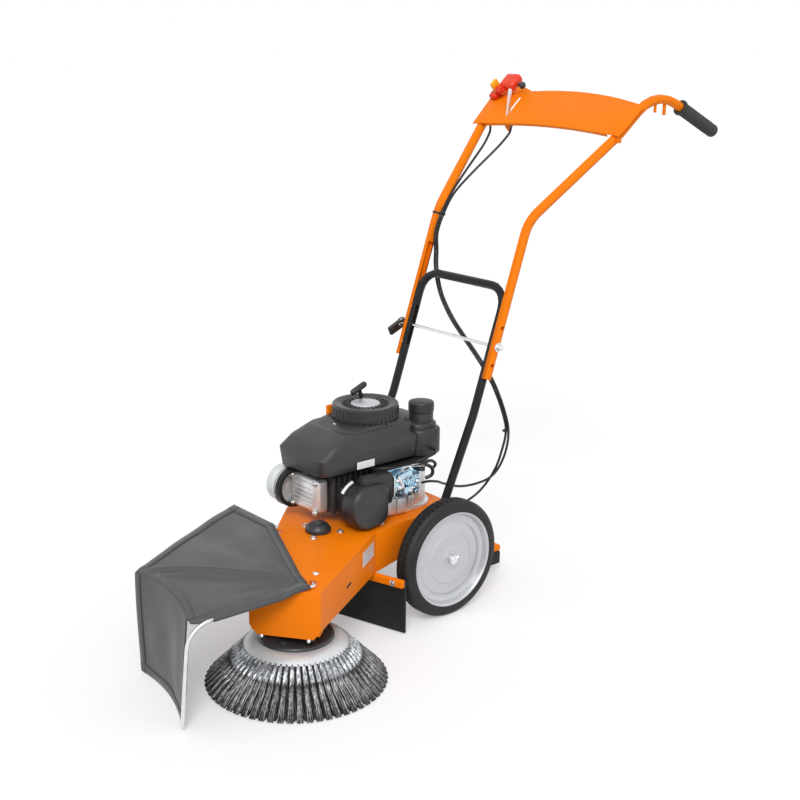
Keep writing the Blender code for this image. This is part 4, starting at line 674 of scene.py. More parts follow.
def makeKnots():
    # Copies of a few slightly different knots, all round the brush
    forms = [knotForm(form) for form in range(brush["forms"])]
    whole = bmesh.new()
    for k in range(brush["knots"]):
        knot = bmesh.new()
        knot.from_mesh(forms[(k * 3 + k // 7) % brush["forms"]])
        joinTo(whole, knot, brushCentre, turned(2 * pi * (k + brush["firstTurn"]) / brush["knots"]))
    # Behind each gap stands a knot of the inner row, its near-black colour painted shade that darkens the gaps
    behind = bmesh.new()
    inward = knotRoot - knotOut * innerRow["behind"]
    for k in range(brush["knots"]):
        knot = bmesh.new()
        for wire in range(innerRow["wires"]):
            a = 2 * pi * wire / innerRow["wires"] + k
            line = []
            for t in innerRow["stations"]:
                at = inward + knotAlong * (knotReach * t - 0.002) + knotOut * 0.0016 * cos(a + 5 * t)
                side = innerRow["sway"] * sin(a + 5 * t) * (1 + t)
                line.append(Vector((at.x, side, max(at.y, innerRow["lowest"]))))
            addTube(knot, line, innerRow["wireR"], 1)
        joinTo(behind, knot, brushCentre, turned(2 * pi * (k + brush["firstTurn"] + 0.5) / brush["knots"]))
    finishPiece("wire_knots_inner", behind, "wireDark", body="brush", smooth=50)
    # The ring that holds the knots
    ring = [tuple(knotRoot + knotOut * out - knotAlong * back) for out, back in knotRing["section"]]
    addSpin(whole, ring + ring[:1], brushCentre, zAxis, knotRing["steps"])
    for mesh in forms:
        bpy.data.meshes.remove(mesh)
    finishPiece("wire_knots", whole, "wire", "brush_knots", body="brush", smooth=50)


dish = {"steps": 120,
        "profile": ((0.0126, 0.0997), (0.083, 0.0997), (0.089, 0.0991), (0.095, 0.0973), (0.101, 0.0942),
                    (0.1065, 0.0902), (0.111, 0.0862), (0.1113, 0.0849), (0.11, 0.0845), (0.105, 0.0879),
                    (0.099, 0.0919), (0.093, 0.0947), (0.086, 0.0963), (0.0126, 0.0971))}
disc = {"steps": 96, "bolts": 6, "boltsAt": (0.06, 0.108), "bolt": (0.0052, 0.0035),
        "profile": ((0.0126, 0.108), (0.07, 0.108), (0.076, 0.1074), (0.0788, 0.106), (0.08, 0.104),
                    (0.0806, 0.1), (0.0126, 0.1))}


def makeDish():
    work = bmesh.new()
    addSpin(work, dish["profile"], brushCentre, zAxis, dish["steps"])
    finishPiece("brush_dish_spun", work, "dish", "brush_dish", body="brush", smooth=28)
    work = bmesh.new()
    addSpin(work, disc["profile"], brushCentre, zAxis, disc["steps"])
    for k, a in enumerate(roundAngles(disc["bolts"])):
        radius, height = disc["boltsAt"]
        addHexHead(work, brushCentre + atAngle(radius, a, height), zAxis, *disc["bolt"], roll=0.2 * k)
    finishPiece("brush_disc", work, "carrier", "brush_carrier", body="brush")


makeKnots()
makeDish()
softenNode("brush_nut", "zinc", 0.0008, body="brush")
dressNodes("zinc", "spindle", "brush_pulley", "engine_pulley", "crankshaft", "idler_pulley", "tensioner_arm")
dressNodes("rubber", "drive_belt")
dressNodes("darkAlloy", "flywheel_fan")
dressNodes("black", "spindle_housing")
print("brush made")


# Chassis: folded orange sheet with eased folds, bolts, screws and a bare plate

nose = {"turn": radians(-53.4), "half": 0.076, "reach": 0.0742, "screwZ": 0.1275, "screwShare": 0.66,
        "screw": (0.0044, 0.0028)}
deck = {"z": 0.235, "bolt": (0.0058, 0.0045), "dome": (0.0068, 0.0042), "domeAt": (0.2508, -0.4252),
        "bolts": ((0.0215, -0.2835), (0.0915, -0.313), (0.0985, -0.244), (-0.11, -0.15), (0.115, -0.14),
                  (-0.1, 0.06), (0.1, 0.06))}


def makeChassis():
    softenNode("chassis", "orange", 0.0036, 4, 20)
    softenNode("bearing_plate", "orange", 0.0006)
    for side in ("left", "right"):
        softenNode("axle_bracket_" + side, "orange", 0.0008)


def makeDeckBolts():
    work = bmesh.new()
    for x, y in deck["bolts"]:
        addHexHead(work, (x, y, deck["z"]), zAxis, *deck["bolt"], roll=x * 40)
    addDomeHead(work, (*deck["domeAt"], deck["z"]), zAxis, *deck["dome"])
    # Two screws on the nose's lower edge hold the bearing plate
    forward = Vector((cos(nose["turn"]), sin(nose["turn"]), 0))
    across = Vector((-forward.y, forward.x, 0))
    for share in (-nose["screwShare"], nose["screwShare"]):
        at = brushCentre + forward * nose["reach"] + across * nose["half"] * share + zAxis * nose["screwZ"]
        addDomeHead(work, at, forward, *nose["screw"])
    finishPiece("deck_bolts", work, "zinc")


nearWall = {"from": (0.146, -0.181, 0), "to": (0.3351, -0.4761, 0),
            "plateAt": (0.1745, -0.2255, 0.2005), "plate": (0.074, 0.034, 0.001), "rivetAt": (0.0335, 0.0135),
            "rivet": (0.002, 0.001), "slotAt": (0.244, -0.334, 0.1815), "slot": (0.026, 0.005, 0.0008)}


def makeWallPlate():
    # Bare riveted plate, and a slot on the long near wall shown as a near-black block of painted shade
    wallAlong = (Vector(nearWall["to"]) - Vector(nearWall["from"])).normalized()
    wallOut = wallAlong.cross(zAxis)
    wallOut = wallOut if wallOut.x > 0 else -wallOut
    turn = Matrix((wallAlong, zAxis, wallOut)).transposed()
    work = bmesh.new()
    centre = Vector(nearWall["plateAt"]) + wallOut * 0.0008
    addBlock(work, nearWall["plate"], centre, 0.0004, 1, turn)
    for a in (-1, 1):
        for b in (-1, 1):
            at = centre + wallAlong * a * nearWall["rivetAt"][0] + zAxis * b * nearWall["rivetAt"][1]
            addDomeHead(work, at + wallOut * 0.0004, wallOut, *nearWall["rivet"])
    finishPiece("wall_plate", work, "bare")
    work = bmesh.new()
    addBlock(work, nearWall["slot"], Vector(nearWall["slotAt"]) + wallOut * 0.0006, 0.0002, 1, turn)
    finishPiece("wall_slot", work, "dark", slot="black_paint")


makeChassis()
makeDeckBolts()
makeWallPlate()
print("chassis made")


# Push frame: one bent black tube, bolted to the axle brackets

frameBolts = {"heights": (0.186, 0.218), "out": 0.1541, "head": (0.0062, 0.0045), "shank": 0.004,
              "shankFrom": 0.1335, "shankTo": 0.116}


def makePushFrame():
    softenNode("push_frame", "black", 0.0006, 1, 50)
    work = bmesh.new()
    for side in (1, -1):
        for z in frameBolts["heights"]:
            y = legY(z)
            addHexHead(work, (side * frameBolts["out"], y, z), xAxis * side, *frameBolts["head"], roll=z * 30)
            ends = [(side * frameBolts[end], y, z) for end in ("shankFrom", "shankTo")]
            addTube(work, ends, frameBolts["shank"])
    finishPiece("frame_bolts", work, "zinc")


makePushFrame()
print("push frame made")


# Handle: two bent tubes, ribbed grips, the panel and the height clamp

# Each ring of the grip is (radius, share of the step)
grip = {"start": (0.2455, 0.672, 1.141), "run": (0.011, 0.122, -0.0622), "steps": 48, "rings": 12,
        "firstRing": 0.011, "unringed": 0.03,
        "collar": ((0.0116, -0.001), (0.0177, -0.001), (0.0193, 0.0006), (0.0193, 0.0044), (0.0177, 0.0062),
                   (0.0147, 0.0072)),
        "ring": ((0.0147, 0), (0.0161, 0.16), (0.0165, 0.34), (0.0163, 0.58), (0.0147, 0.74)),
        "end": ((0.0161, -0.006), (0.0149, -0.0022), (0.0113, 0), (0.0052, 0.0001), (0.0045, -0.003),
                (0, -0.0034))}


def makeGrip(side, name):
    start = Vector(grip["start"])
    run = Vector(grip["run"])
    start.x *= side
    run.x *= side
    length = run.length
    step = (length - grip["unringed"]) / grip["rings"]
    profile = list(grip["collar"])
    for k in range(grip["rings"]):
        profile += [(r, grip["firstRing"] + (k + share) * step) for r, share in grip["ring"]]
    last = grip["firstRing"] + grip["rings"] * step
    profile += [(0.0153, last), (0.0161, last + 0.003)]
    profile += [(r, length + z) for r, z in grip["end"]]
    work = bmesh.new()
    addSpin(work, profile, start, run, grip["steps"])
    finishPiece("grip_ribbed_" + name, work, "grip", "grip_" + name, body="handle", smooth=40)


def makeHandleTubes():
    for name in ("left", "right"):
        softenNode("handle_tube_" + name, "orange", 0.0004, 1, 60, "handle")
    for side, name in ((1, "left"), (-1, "right")):
        makeGrip(side, name)


# Size and place of each lug
lugs = (((0.004, 0.008, 0.026), (0.2385, 0.588, 1.144)), ((0.004, 0.01, 0.028), (0.24, 0.62, 1.138)),
        ((0.005, 0.014, 0.014), (0.239, 0.464, 1.073)))


def makePanel():
    softenNode("handle_panel", "orange", 0.0012, 3, 25, "handle")
    # Small welded lugs under the near bend and at the panel's corner
    work = bmesh.new()
    for size, at in lugs:
        addBlock(work, size, at, 0.0012, 2)
    finishPiece("handle_lugs", work, "orange", body="handle")


makeHandleTubes()
makePanel()
print("handle made")


# Controls: red clutch lever on its red block with the yellow lock, and the chrome throttle lever

# Places are (across the panel, up its slope, off it), and blocks are (size, place, bevel, segments)
clutch = {"pin": (-0.2125, 0.372, 0.036), "pinSize": (0.0033, 0.038),
          "block": ((0.0225, 0.03, 0.016), (-0.234, 0.37, 0.0218), 0.003, 3),
          "lock": ((0.0095, 0.024, 0.032), (-0.2272, 0.378, 0.0415), 0.0026, 3),
          "hub": (-0.2118, 0.372, 0.036), "hubSize": (0.009, 0.02),
          "neck": ((0.02, 0.022, 0.013), (-0.2118, 0.384, 0.034), 0.003, 3),
          "pad": ((0.05, 0.048, 0.027), (-0.1945, 0.401, 0.034), 0.011, 5),
          "stem": (-0.165, 0.399, 0.029), "stemSize": (0.004, 0.016),
          "knob": (-0.1555, 0.399, 0.028), "knobR": 0.0095, "knobSquash": (0.8, 1, 1)}


def addOnPanel(work, size, place, bevel, segments):
    addBlock(work, size, onPanel(*place), bevel, segments, panelTurn)


def makeControls():
    work = bmesh.new()
    addOnPanel(work, *clutch["block"])
    addRound(work, *clutch["pinSize"], onPanel(*clutch["pin"]), xAxis, 16, 0.0004)
    finishPiece("control_bracket", work, "red", "control_bracket", body="handle")
    work = bmesh.new()
    addOnPanel(work, *clutch["lock"])
    finishPiece("lever_lock", work, "yellow", "lever_block", body="handle")
    # The clutch lever: hub, neck and a rounded thumb pad
    work = bmesh.new()
    addRound(work, *clutch["hubSize"], onPanel(*clutch["hub"]), xAxis, 32, 0.0012)
    addOnPanel(work, *clutch["neck"])
    addOnPanel(work, *clutch["pad"])
    finishPiece("clutch_thumb_lever", work, "red", "clutch_lever", body="clutch")
    work = bmesh.new()
    addRound(work, *clutch["stemSize"], onPanel(*clutch["stem"]), xAxis, 20, 0.0006)
    ball = bmesh.new()
    bmesh.ops.create_uvsphere(ball, u_segments=24, v_segments=12, radius=clutch["knobR"])
    bmesh.ops.scale(ball, verts=ball.verts[:], vec=clutch["knobSquash"])
    joinTo(work, ball, onPanel(*clutch["knob"]))
    finishPiece("clutch_knob", work, "trim", body="clutch")
    softenNode("throttle_lever", "zinc", 0.0005, body="throttle")


# Washer, nut, neck and tip, each (radius, length, distance from the middle, sides, bevel, roll)
lockNut = {"rod": (0, 0.166, 0.61),
           "rounds": ((0.0112, 0.0016, 0.1662, 28, 0.0003, 0), (0.0088, 0.0068, 0.1706, 6, 0.0008, 0.2),
                      (0.0066, 0.0028, 0.1754, 20, 0.0008, 0), (0.004, 0.005, 0.1783, 14, 0.0005, 0))}


def makeClamp():
    softenNode("cam_lever", "trim", 0.0018, 3, 25, "cam")
    dressNodes("zinc", "clamp_rod")
    work = bmesh.new()
    for radius, length, x, sides, bevel, roll in lockNut["rounds"]:
        addRound(work, radius, length, Vector(lockNut["rod"]) + xAxis * x, xAxis, sides, bevel, roll)
    finishPiece("clamp_lock_nut", work, "zinc", "clamp_nut", body="handle")


makeControls()
makeClamp()
print("controls and clamp made")


# Guard: tarpaulin cut to shape, hemmed all round, stretched over two bent rods

hooks = {"near": (0.308, -0.469, 0.2393), "far": (-0.004, -0.344, 0.2393), "length": 0.03}
rods = {"radius": 0.004,
        "near": ((0.303, -0.514, 0.2405), (0.298, -0.545, 0.231), (0.2755, -0.746, 0.2205),
                 (0.269, -0.763, 0.012)),
        "nearBends": (0.012, 0.03, 0.03, 0.055),
        "far": ((-0.168, -0.347, 0.2407), (0, -0.693, 0.2212), (0.004, -0.692, 0.012)),
        "farBends": (0.012, 0.022, 0.022)}
# Ridge waves are (height, middle, width) across the pulled fold, and the lowered one is its valley
cloth = {"flat": (0.478, 0.612), "across": 84, "down": 96, "topRows": 57, "thick": 0.0016,
         "rear": ((-0.168, -0.35, 0.2465), (-0.0066, -0.3505, 0.2475), (0.244, -0.459, 0.2395),
                  (0.284, -0.471, 0.2395)),
         "crease": ((-0.004, -0.702, 0.227), (0.2655, -0.742, 0.23)),
         "foot": ((0, -0.7, 0.004), (0.2575, -0.757, 0.004)),
         "bow": 0.02, "rise": 0.003, "ridge": 0.0115,
         "ridgeWaves": ((0.8, 0.014, 0.01), (-0.5, 0, 0.006), (0.6, -0.013, 0.009)), "valleyFrom": 0.12,
         "fan": 0.0016, "fanFolds": 17.0, "fanFrom": 0.1, "fall": 0.0035, "fallFolds": 2.1, "sag": 0.004}
creaseAt = cloth["topRows"] / cloth["down"]


def lineAt(points, u):
    # A place at share u of the length of a line
    points = [Vector(p) for p in points]
    goal = u * sum((b - a).length for a, b in zip(points, points[1:]))
    for a, b in zip(points, points[1:]):
        length = (b - a).length
        if goal <= length + 1e-9:
            return a.lerp(b, min(1.0, goal / length))
        goal -= length
    return points[-1]


def rodLine(side, other, steps):
    hook = Vector(hooks[side])
    inward = (Vector(hooks[other]) - hook).normalized()
    return roundedRoute([hook + inward * hooks["length"], hook, *rods[side]], rods[side + "Bends"], steps)


nearLine = rodLine("near", "far", 12)
farLine = rodLine("far", "near", 8)


def clothPoint(u, v):
    # u runs from the far edge to the near one, v from the deck over the crease to the foot
    arch = 4 * u * (1 - u)
    rear = lineAt(cloth["rear"], u)
    left, right = [Vector(p) for p in cloth["crease"]]
    front = left.lerp(right, u) + Vector((0, cloth["bow"] * arch, cloth["rise"] * arch))
    if v > creaseAt:
        t = (v - creaseAt) / (1 - creaseAt)
        foot = Vector(cloth["foot"][0]).lerp(Vector(cloth["foot"][1]), u) + yAxis * cloth["bow"] * arch
        point = front.lerp(foot, t)
        wave = cloth["fall"] * sin(2 * pi * (cloth["fallFolds"] * u + 0.15)) * (0.4 + t)
        point.y += sin(pi * t) * (wave - cloth["sag"])
        return point
    t = v / creaseAt
    point = rear.lerp(front, t)
    point.z = rear.z + (front.z - rear.z) * t ** 2
    # A pulled fold runs from the near hook to the far end of the crease
    start = Vector(cloth["rear"][3]).xy
    hook = point.xy - start
    aside = hook.cross((left.xy - start).normalized())
    fade = min(1.0, t * 5) * min(1.0, (1 - t) * 6)
    lift = 0.0
    for height, middle, width in cloth["ridgeWaves"]:
        share = min(1.0, hook.length / cloth["valleyFrom"]) if height < 0 else 1.0
        lift += height * share * exp(-((aside - middle) / width) ** 2)
    point.z += cloth["ridge"] * fade * lift
    # Shallow folds fan out from the near hook
    angle = hook.angle_signed(Vector((-0.6, -0.8))) if hook.length > 0.01 else 0.0
    ease = min(1.0, hook.length / cloth["fanFrom"]) * (1 - t) * fade
    point.z += cloth["fan"] * sin(angle * cloth["fanFolds"]) * ease
    return point


def thicken(piece, thick, offset):
    # The cloth's thickness, as a live modifier
    skin = piece.modifiers.new("cloth", "SOLIDIFY")
    skin.thickness = thick
    skin.offset = offset


def makeCloth():
    wide, long = cloth["flat"]
    work = bmesh.new()
    bmesh.ops.create_grid(work, x_segments=cloth["across"], y_segments=cloth["down"], size=0.5)
    weave = work.loops.layers.uv.new("weave")
    for face in work.faces:
        for loop in face.loops:
            loop[weave].uv = (loop.vert.co.x * wide, loop.vert.co.y * long)
    for v in work.verts:
        v.co = clothPoint(v.co.x + 0.5, v.co.y + 0.5)
    piece = finishPiece("guard_sheet", work, "cloth", "guard_cloth", body="guard", smooth=60)
    thicken(piece, cloth["thick"], -1)
    return piece


def addStrip(work, outer, inner):
    # A band of sheet between two lines of as many points
    start = [work.verts.new(p) for p in outer]
    edges = [work.edges.new(pair) for pair in zip(start, start[1:])]
    made = bmesh.ops.extrude_edge_only(work, edges=edges)
    order = {tuple(round(c, 6) for c in p): k for k, p in enumerate(outer)}
    for v in made["geom"]:
        if isinstance(v, bmesh.types.BMVert):
            v.co = inner[order[tuple(round(c, 6) for c in v.co)]]


# Each hem band runs from its first to its second place, and folds in to the third and fourth
hem = {"steps": 72, "thick": 0.001, "outer": 0.0008, "inner": 0.0012,
       "bands": (((0, 0), (1, 0), (0, 0.04), (1, 0.04)), ((0, 1), (1, 1), (0, 0.965), (1, 0.965)),
                 ((0, 0), (0, 1), (0.052, 0), (0.066, 1)), ((1, creaseAt), (1, 1), (0.94, creaseAt), (0.94, 1)),
                 ((0, creaseAt), (1, creaseAt), (0, creaseAt - 0.042), (1, creaseAt - 0.042)))}
sleeve = {"radius": 0.0056, "from": -0.49, "step": 0.0135, "places": 16, "leaves": 0.8,
          "fold": (0.0058, 0, -0.0066)}


def rodAtY(y):
    # The near rod's place at y, on its upper run
    for a, b in zip(nearLine, nearLine[1:]):
        if a.y >= y >= b.y and a.z > 0.2:
            return a.lerp(b, (a.y - y) / max(1e-6, a.y - b.y))
    return nearLine[-1]


def between(a, b, t):
    # A share of the way between two places on the cloth
    return a[0] + (b[0] - a[0]) * t, a[1] + (b[1] - a[1]) * t


def makeHems():
    # Folded hems stand a little proud of the sheet, and the near one wraps the rod
    work = bmesh.new()
    weave = work.loops.layers.uv.new("weave")
    shares = [k / hem["steps"] for k in range(hem["steps"] + 1)]
    for a, b, c, d in hem["bands"]:
        outer, inner = [], []
        for t in shares:
            onTop = between(a, b, t)[1] < creaseAt + 0.001
            lift = Vector((0, -0.45, 0.9) if onTop else (0, -1, 0.1)).normalized()
            outer.append(clothPoint(*between(a, b, t)) + lift * hem["outer"])
            inner.append(clothPoint(*between(c, d, t)) + lift * hem["inner"])
        addStrip(work, outer, inner)
    # From the hook on, the cloth reaches out to the near rod, then leaves it before the corner
    rodPoints = [p for p in nearLine if -0.748 < p.y < -0.472 and p.z > 0.21]
    outer, inner, over = [], [], []
    for t in shares:
        edge = clothPoint(1, creaseAt * (0.04 + 0.96 * t))
        before = max((p for p in rodPoints if p.y >= edge.y), key=lambda p: -p.y, default=rodPoints[0])
        after = min((p for p in rodPoints if p.y < edge.y), key=lambda p: -p.y, default=rodPoints[-1])
        share = (before.y - edge.y) / max(0.0001, before.y - after.y)
        rod = before.lerp(after, min(1.0, share))
        leave = 0.8 * min(1.0, max(0.0, (t - sleeve["leaves"]) / (1 - sleeve["leaves"])))
        rod = (rod + zAxis * sleeve["radius"]).lerp(edge + xAxis * 0.002, leave)
        outer.append(edge + zAxis * hem["inner"])
        inner.append(rod)
        over.append(rod + Vector(sleeve["fold"]) * (1 - leave * 0.6))
    addStrip(work, outer, inner)
    addStrip(work, inner, over)
    for face in work.faces:
        for loop in face.loops:
            loop[weave].uv = (loop.vert.co.x, loop.vert.co.y + loop.vert.co.z)
    edging = finishPiece("guard_hem", work, "cloth", body="guard", smooth=50)
    thicken(edging, hem["thick"], 0)
    # The sleeve that the near rod runs through
    work = bmesh.new()
    places = [rodAtY(sleeve["from"] - sleeve["step"] * k) for k in range(sleeve["places"])]
    addTube(work, smoothRoute(places, 3), sleeve["radius"])
    return [edging, finishPiece("guard_sleeve", work, "cloth", body="guard", smooth=50)]


clip = {"along": 0.022, "top": 0.01, "sideAt": 0.0052, "side": 0.0082, "footAt": 0.009, "foot": 0.008,
        "length": 0.011, "thick": 0.0012, "footZ": 0.2359}


def makeRods():
    for name, line in (("near", nearLine), ("far", farLine)):
        work = bmesh.new()
        addTube(work, line, rods["radius"])
        finishPiece("guard_rod_" + name + "_bent", work, "zinc", "guard_rod_" + name, body="guard", smooth=50)
    # Saddle clips hold each hook down on the deck
    length, thick = clip["length"], clip["thick"]
    work = bmesh.new()
    for hook, other in ((hooks["near"], hooks["far"]), (hooks["far"], hooks["near"])):
        inward = (Vector(other) - Vector(hook)).normalized()
        at = Vector(hook) + inward * clip["along"]
        side = zAxis.cross(inward)
        turn = Matrix((inward, side, zAxis)).transposed()
        over = at + zAxis * (rods["radius"] + 0.0008)
        foot = Vector((at.x, at.y, clip["footZ"]))
        addBlock(work, (length, clip["top"], thick), over, 0.0004, 1, turn)
        for sign in (1, -1):
            addBlock(work, (length, thick, clip["side"]), at + side * sign * clip["sideAt"], 0.0004, 1, turn)
            addBlock(work, (length, clip["foot"], thick), foot + side * sign * clip["footAt"], 0.0003, 1, turn)
    finishPiece("guard_clips", work, "orange")


def sheetArea(piece):
    return round(sum(face.area for face in piece.data.polygons), 4)


guardSheet = makeCloth()
guardEdges = makeHems()
makeRods()
print("guard made, sheet area", sheetArea(guardSheet), "square metres")


# Belt tensioner's black cap, the flap behind the brush and the rear tread

pivotCap = {"at": (0.063, -0.279, 0.2353), "steps": 48,
            "profile": ((0, 0.0222), (0.011, 0.0216), (0.018, 0.0196), (0.0232, 0.016), (0.0262, 0.011),
                        (0.028, 0.0086), (0.029, 0.0078), (0.029, 0.0006), (0.0284, 0), (0, 0))}
flap = {"middle": (0.067, -0.206, 0.1255), "turn": radians(17), "length": 0.318, "out": 0.006,
        "shares": (-0.42, -0.14, 0.14, 0.42), "bolt": (0.005, 0.0036)}


def makeDeckFittings():
    work = bmesh.new()
    addSpin(work, pivotCap["profile"], Vector(pivotCap["at"]), zAxis, pivotCap["steps"])
    finishPiece("pivot_cap_turned", work, "trim", "pivot_cap", body="tensioner")
    softenNode("flap_bar", "orange", 0.0015)
    softenNode("rubber_flap", "rubber", 0.0008, 1)
    turn = turned(flap["turn"])
    face = turn @ -yAxis
    work = bmesh.new()
    for share in flap["shares"]:
        at = Vector(flap["middle"]) + turn @ (xAxis * share * flap["length"]) + face * flap["out"]
        addHexHead(work, at, face, *flap["bolt"], roll=share)
    finishPiece("flap_bolts", work, "zinc")
    softenNode("rear_tread", "orange", 0.002)
    softenNode("tread_pad", "rubber", 0.0016)


makeDeckFittings()
print("deck fittings made")


# Cables: black sleeves from the handle down the frame, and the fuel hose's short loop

cable = {"radius": 0.003, "hoseR": 0.0035, "parts": 7, "apart": 0.0062, "besideWithin": 0.017,
         "besideZ": (0.35, 0.95), "rideFrom": (0, 0.21, 0.6), "rideTo": (0, 0.26, 0.88)}
clutchRoute = (
    (-0.204, 0.4712, 1.0932), (-0.204, 0.4769, 1.0839), (-0.2038, 0.4783, 1.0754), (-0.203, 0.4769, 1.0669),
    (-0.2005, 0.4712, 1.0575), (-0.192, 0.4416, 1.0287), (-0.174, 0.37, 0.975), (-0.158, 0.306, 0.926),
    (-0.14, 0.256, 0.88), (-0.1395, 0.2365, 0.834), (-0.1378, 0.233, 0.792), (-0.133, 0.23, 0.744),
    (-0.097, 0.214, 0.689), (-0.049, 0.206, 0.639), (-0.003, 0.208, 0.596), (0.04, 0.213, 0.555),
    (0.07, 0.219, 0.52), (0.085, 0.232, 0.484), (0.095, 0.252, 0.427), (0.1, 0.263, 0.376),
    (0.1, 0.255, 0.329), (0.09, 0.24, 0.274), (0.074, 0.205, 0.222), (0.062, 0.15, 0.196),
    (0.055, 0.082, 0.191), (0.053, 0.02, 0.198), (0.053, -0.06, 0.213), (0.054, -0.14, 0.22),
    (0.055, -0.2, 0.2215), (0.0555, -0.233, 0.2215),
)
throttleRoute = (
    (-0.131, 0.4727, 1.0945), (-0.131, 0.4784, 1.0852), (-0.1312, 0.4798, 1.0767), (-0.1318, 0.4784, 1.0682),
    (-0.1335, 0.4727, 1.0588), (-0.139, 0.4416, 1.0287), (-0.157, 0.376, 0.97), (-0.152, 0.311, 0.922),
    (-0.136, 0.262, 0.876), (-0.1345, 0.2415, 0.832), (-0.1298, 0.24, 0.79), (-0.125, 0.237, 0.744),
    (-0.088, 0.221, 0.691), (-0.041, 0.213, 0.643), (0.005, 0.215, 0.6), (0.047, 0.22, 0.559),
    (0.077, 0.226, 0.524), (0.092, 0.239, 0.486), (0.102, 0.259, 0.427), (0.107, 0.27, 0.376),
    (0.107, 0.262, 0.329), (0.099, 0.248, 0.285), (0.089, 0.225, 0.258), (0.083, 0.18, 0.25),
    (0.081, 0.13, 0.255), (0.086, 0.075, 0.276), (0.103, 0.043, 0.292), (0.109, 0.01, 0.302),
    (0.11, -0.0135, 0.304),
)
hoseRoute = (
    (0.0806, 0.03, 0.374), (0.104, 0.03, 0.374), (0.118, 0.018, 0.372), (0.121, -0.008, 0.368),
    (0.115, -0.031, 0.361), (0.113, -0.036, 0.353), (0.113, -0.036, 0.3455),
)


def closer(route, other):
    # Where the two cables run side by side they all but touch
    low, high = cable["besideZ"]
    nearer = []
    for point in route:
        point = Vector(point)
        beside = min((Vector(p) for p in other), key=lambda p: (p - point).length)
        apart = (beside - point).length
        if low < point.z < high and apart < cable["besideWithin"]:
            point = point.lerp(beside, max(0.0, (apart - cable["apart"]) / 2 / apart))
        nearer.append(point)
    return nearer


def makeCable(name, route, radius, node):
    line = smoothRoute(route, cable["parts"])
    work = bmesh.new()
    addTube(work, line, radius)
    piece = finishPiece(name, work, "sleeve", node, body=None, smooth=60)
    line = [p + toFrame for p in line]
    return piece


clutchLine = closer(clutchRoute, throttleRoute)
throttleLine = closer(throttleRoute, clutchRoute)
clutchCable = makeCable("clutch_cable_sleeve", clutchLine, cable["radius"], "clutch_cable")
throttleCable = makeCable("throttle_cable_sleeve", throttleLine, cable["radius"], "throttle_cable")
fuelHose = makeCable("fuel_hose_loop", hoseRoute, cable["hoseR"], "fuel_hose")
# Both cables belong to no body, and their transforms are baked into their meshes
for one in (clutchCable, throttleCable):
    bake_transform(one)
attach(fuelHose, "machine")

ties = {"radius": 0.0078, "width": 0.0045, "strapR": 0.0124, "strapAt": (-0.1545, 0.878),
        "low": ((0.1035, 0.261, 0.376), (0.05, 0.06, -1)), "high": ((-0.138, 0.259, 0.878), (-0.2, 0.62, 0.76))}


def makeCableTies():
    # Black ties hold the two cables side by side, and the high one is strapped to the handle tube
    for name, body in (("low", "machine"), ("high", "handle")):
        at, way = ties[name]
        work = bmesh.new()
        addRound(work, ties["radius"], ties["width"], at, way, 24, 0.001)
        if body == "handle":
            x, z = ties["strapAt"]
            addRound(work, ties["strapR"], ties["width"], (x, legY(z), z), legAlong, 36, 0.0006)
        finishPiece("cable_tie_" + name, work, "sleeve", body=body)


makeCableTies()
print("cables made")


# Engine: matt shroud over a finned cylinder, pull starter, tank, air filter, carburettor and muffler

shroud = {"topFrom": 0.455, "topDrop": 0.01, "skirt": (0.008, 0.04), "front": (0, -0.2798, 0.384),
          "rise": (0, 0.28, 0.028), "cuts": (0.0, 0.006, 0.03), "stepFrom": 0.003, "stepTo": 0.446,
          "step": 0.0105, "stepAbove": 0.00315, "middle": (0, -0.145, 0), "fadeFrom": -0.279, "fadeOver": 0.03,
          "plate": ((0.0016, 0.05, 0.017), (0.0896, -0.164, 0.3752)),
          "lug": ((0.01, 0.022, 0.04), (-0.077, -0.136, 0.452)),
          "boltsAt": ((-0.004, -0.179), (0.058, -0.029)), "boltZ": 0.4463, "bolt": (0.005, 0.005)}


def makeShroud():
    # The cover's upper part steps in above a crease that climbs towards the back
    work = copyNode("engine_shroud")
    bmesh.ops.translate(work, verts=work.verts[:], vec=-toFrame)
    foot = min(v.co.z for v in work.verts)
    lift, slope = shroud["skirt"]
    for v in work.verts:
        if v.co.z > shroud["topFrom"]:
            v.co.z -= shroud["topDrop"]
        # The skirt ends higher on the near side
        if v.co.z < foot + 0.003:
            v.co.z += lift + slope * v.co.x
    crease = Vector(shroud["front"])
    normal = xAxis.cross(Vector(shroud["rise"]).normalized()).normalized()
    for shift in shroud["cuts"]:
        bmesh.ops.bisect_plane(work, geom=work.verts[:] + work.edges[:] + work.faces[:],
                               plane_co=crease + normal * shift, plane_no=normal)
    for v in work.verts:
        height = (v.co - crease).dot(normal)
        if height > shroud["stepFrom"] and v.co.z < shroud["stepTo"]:
            away = Vector((v.co.x, v.co.y, 0)) - Vector(shroud["middle"])
            fade = min(1.0, max(0.0, (v.co.y - shroud["fadeFrom"]) / shroud["fadeOver"]))
            v.co -= away.normalized() * fade * shroud["step" if height < 0.028 else "stepAbove"]
    bevelSharp(work, 0.0012, 2, 12)
    finishPiece("engine_shroud_skin", work, "cover", "engine_shroud", smooth=42)
    # Bare pale plate low on the near side, two bright bolts by the starter and an orange lug behind it
    work = bmesh.new()
    addBlock(work, *shroud["plate"], 0.0006)
    finishPiece("shroud_plate", work, "pale")
    work = bmesh.new()
    for x, y in shroud["boltsAt"]:
        addHexHead(work, (x, y, shroud["boltZ"]), zAxis, *shroud["bolt"], roll=x * 30)
    finishPiece("shroud_bolts", work, "zinc")
    work = bmesh.new()
    addBlock(work, *shroud["lug"], 0.0022, 2)
    finishPiece("starter_lug", work, "orange")


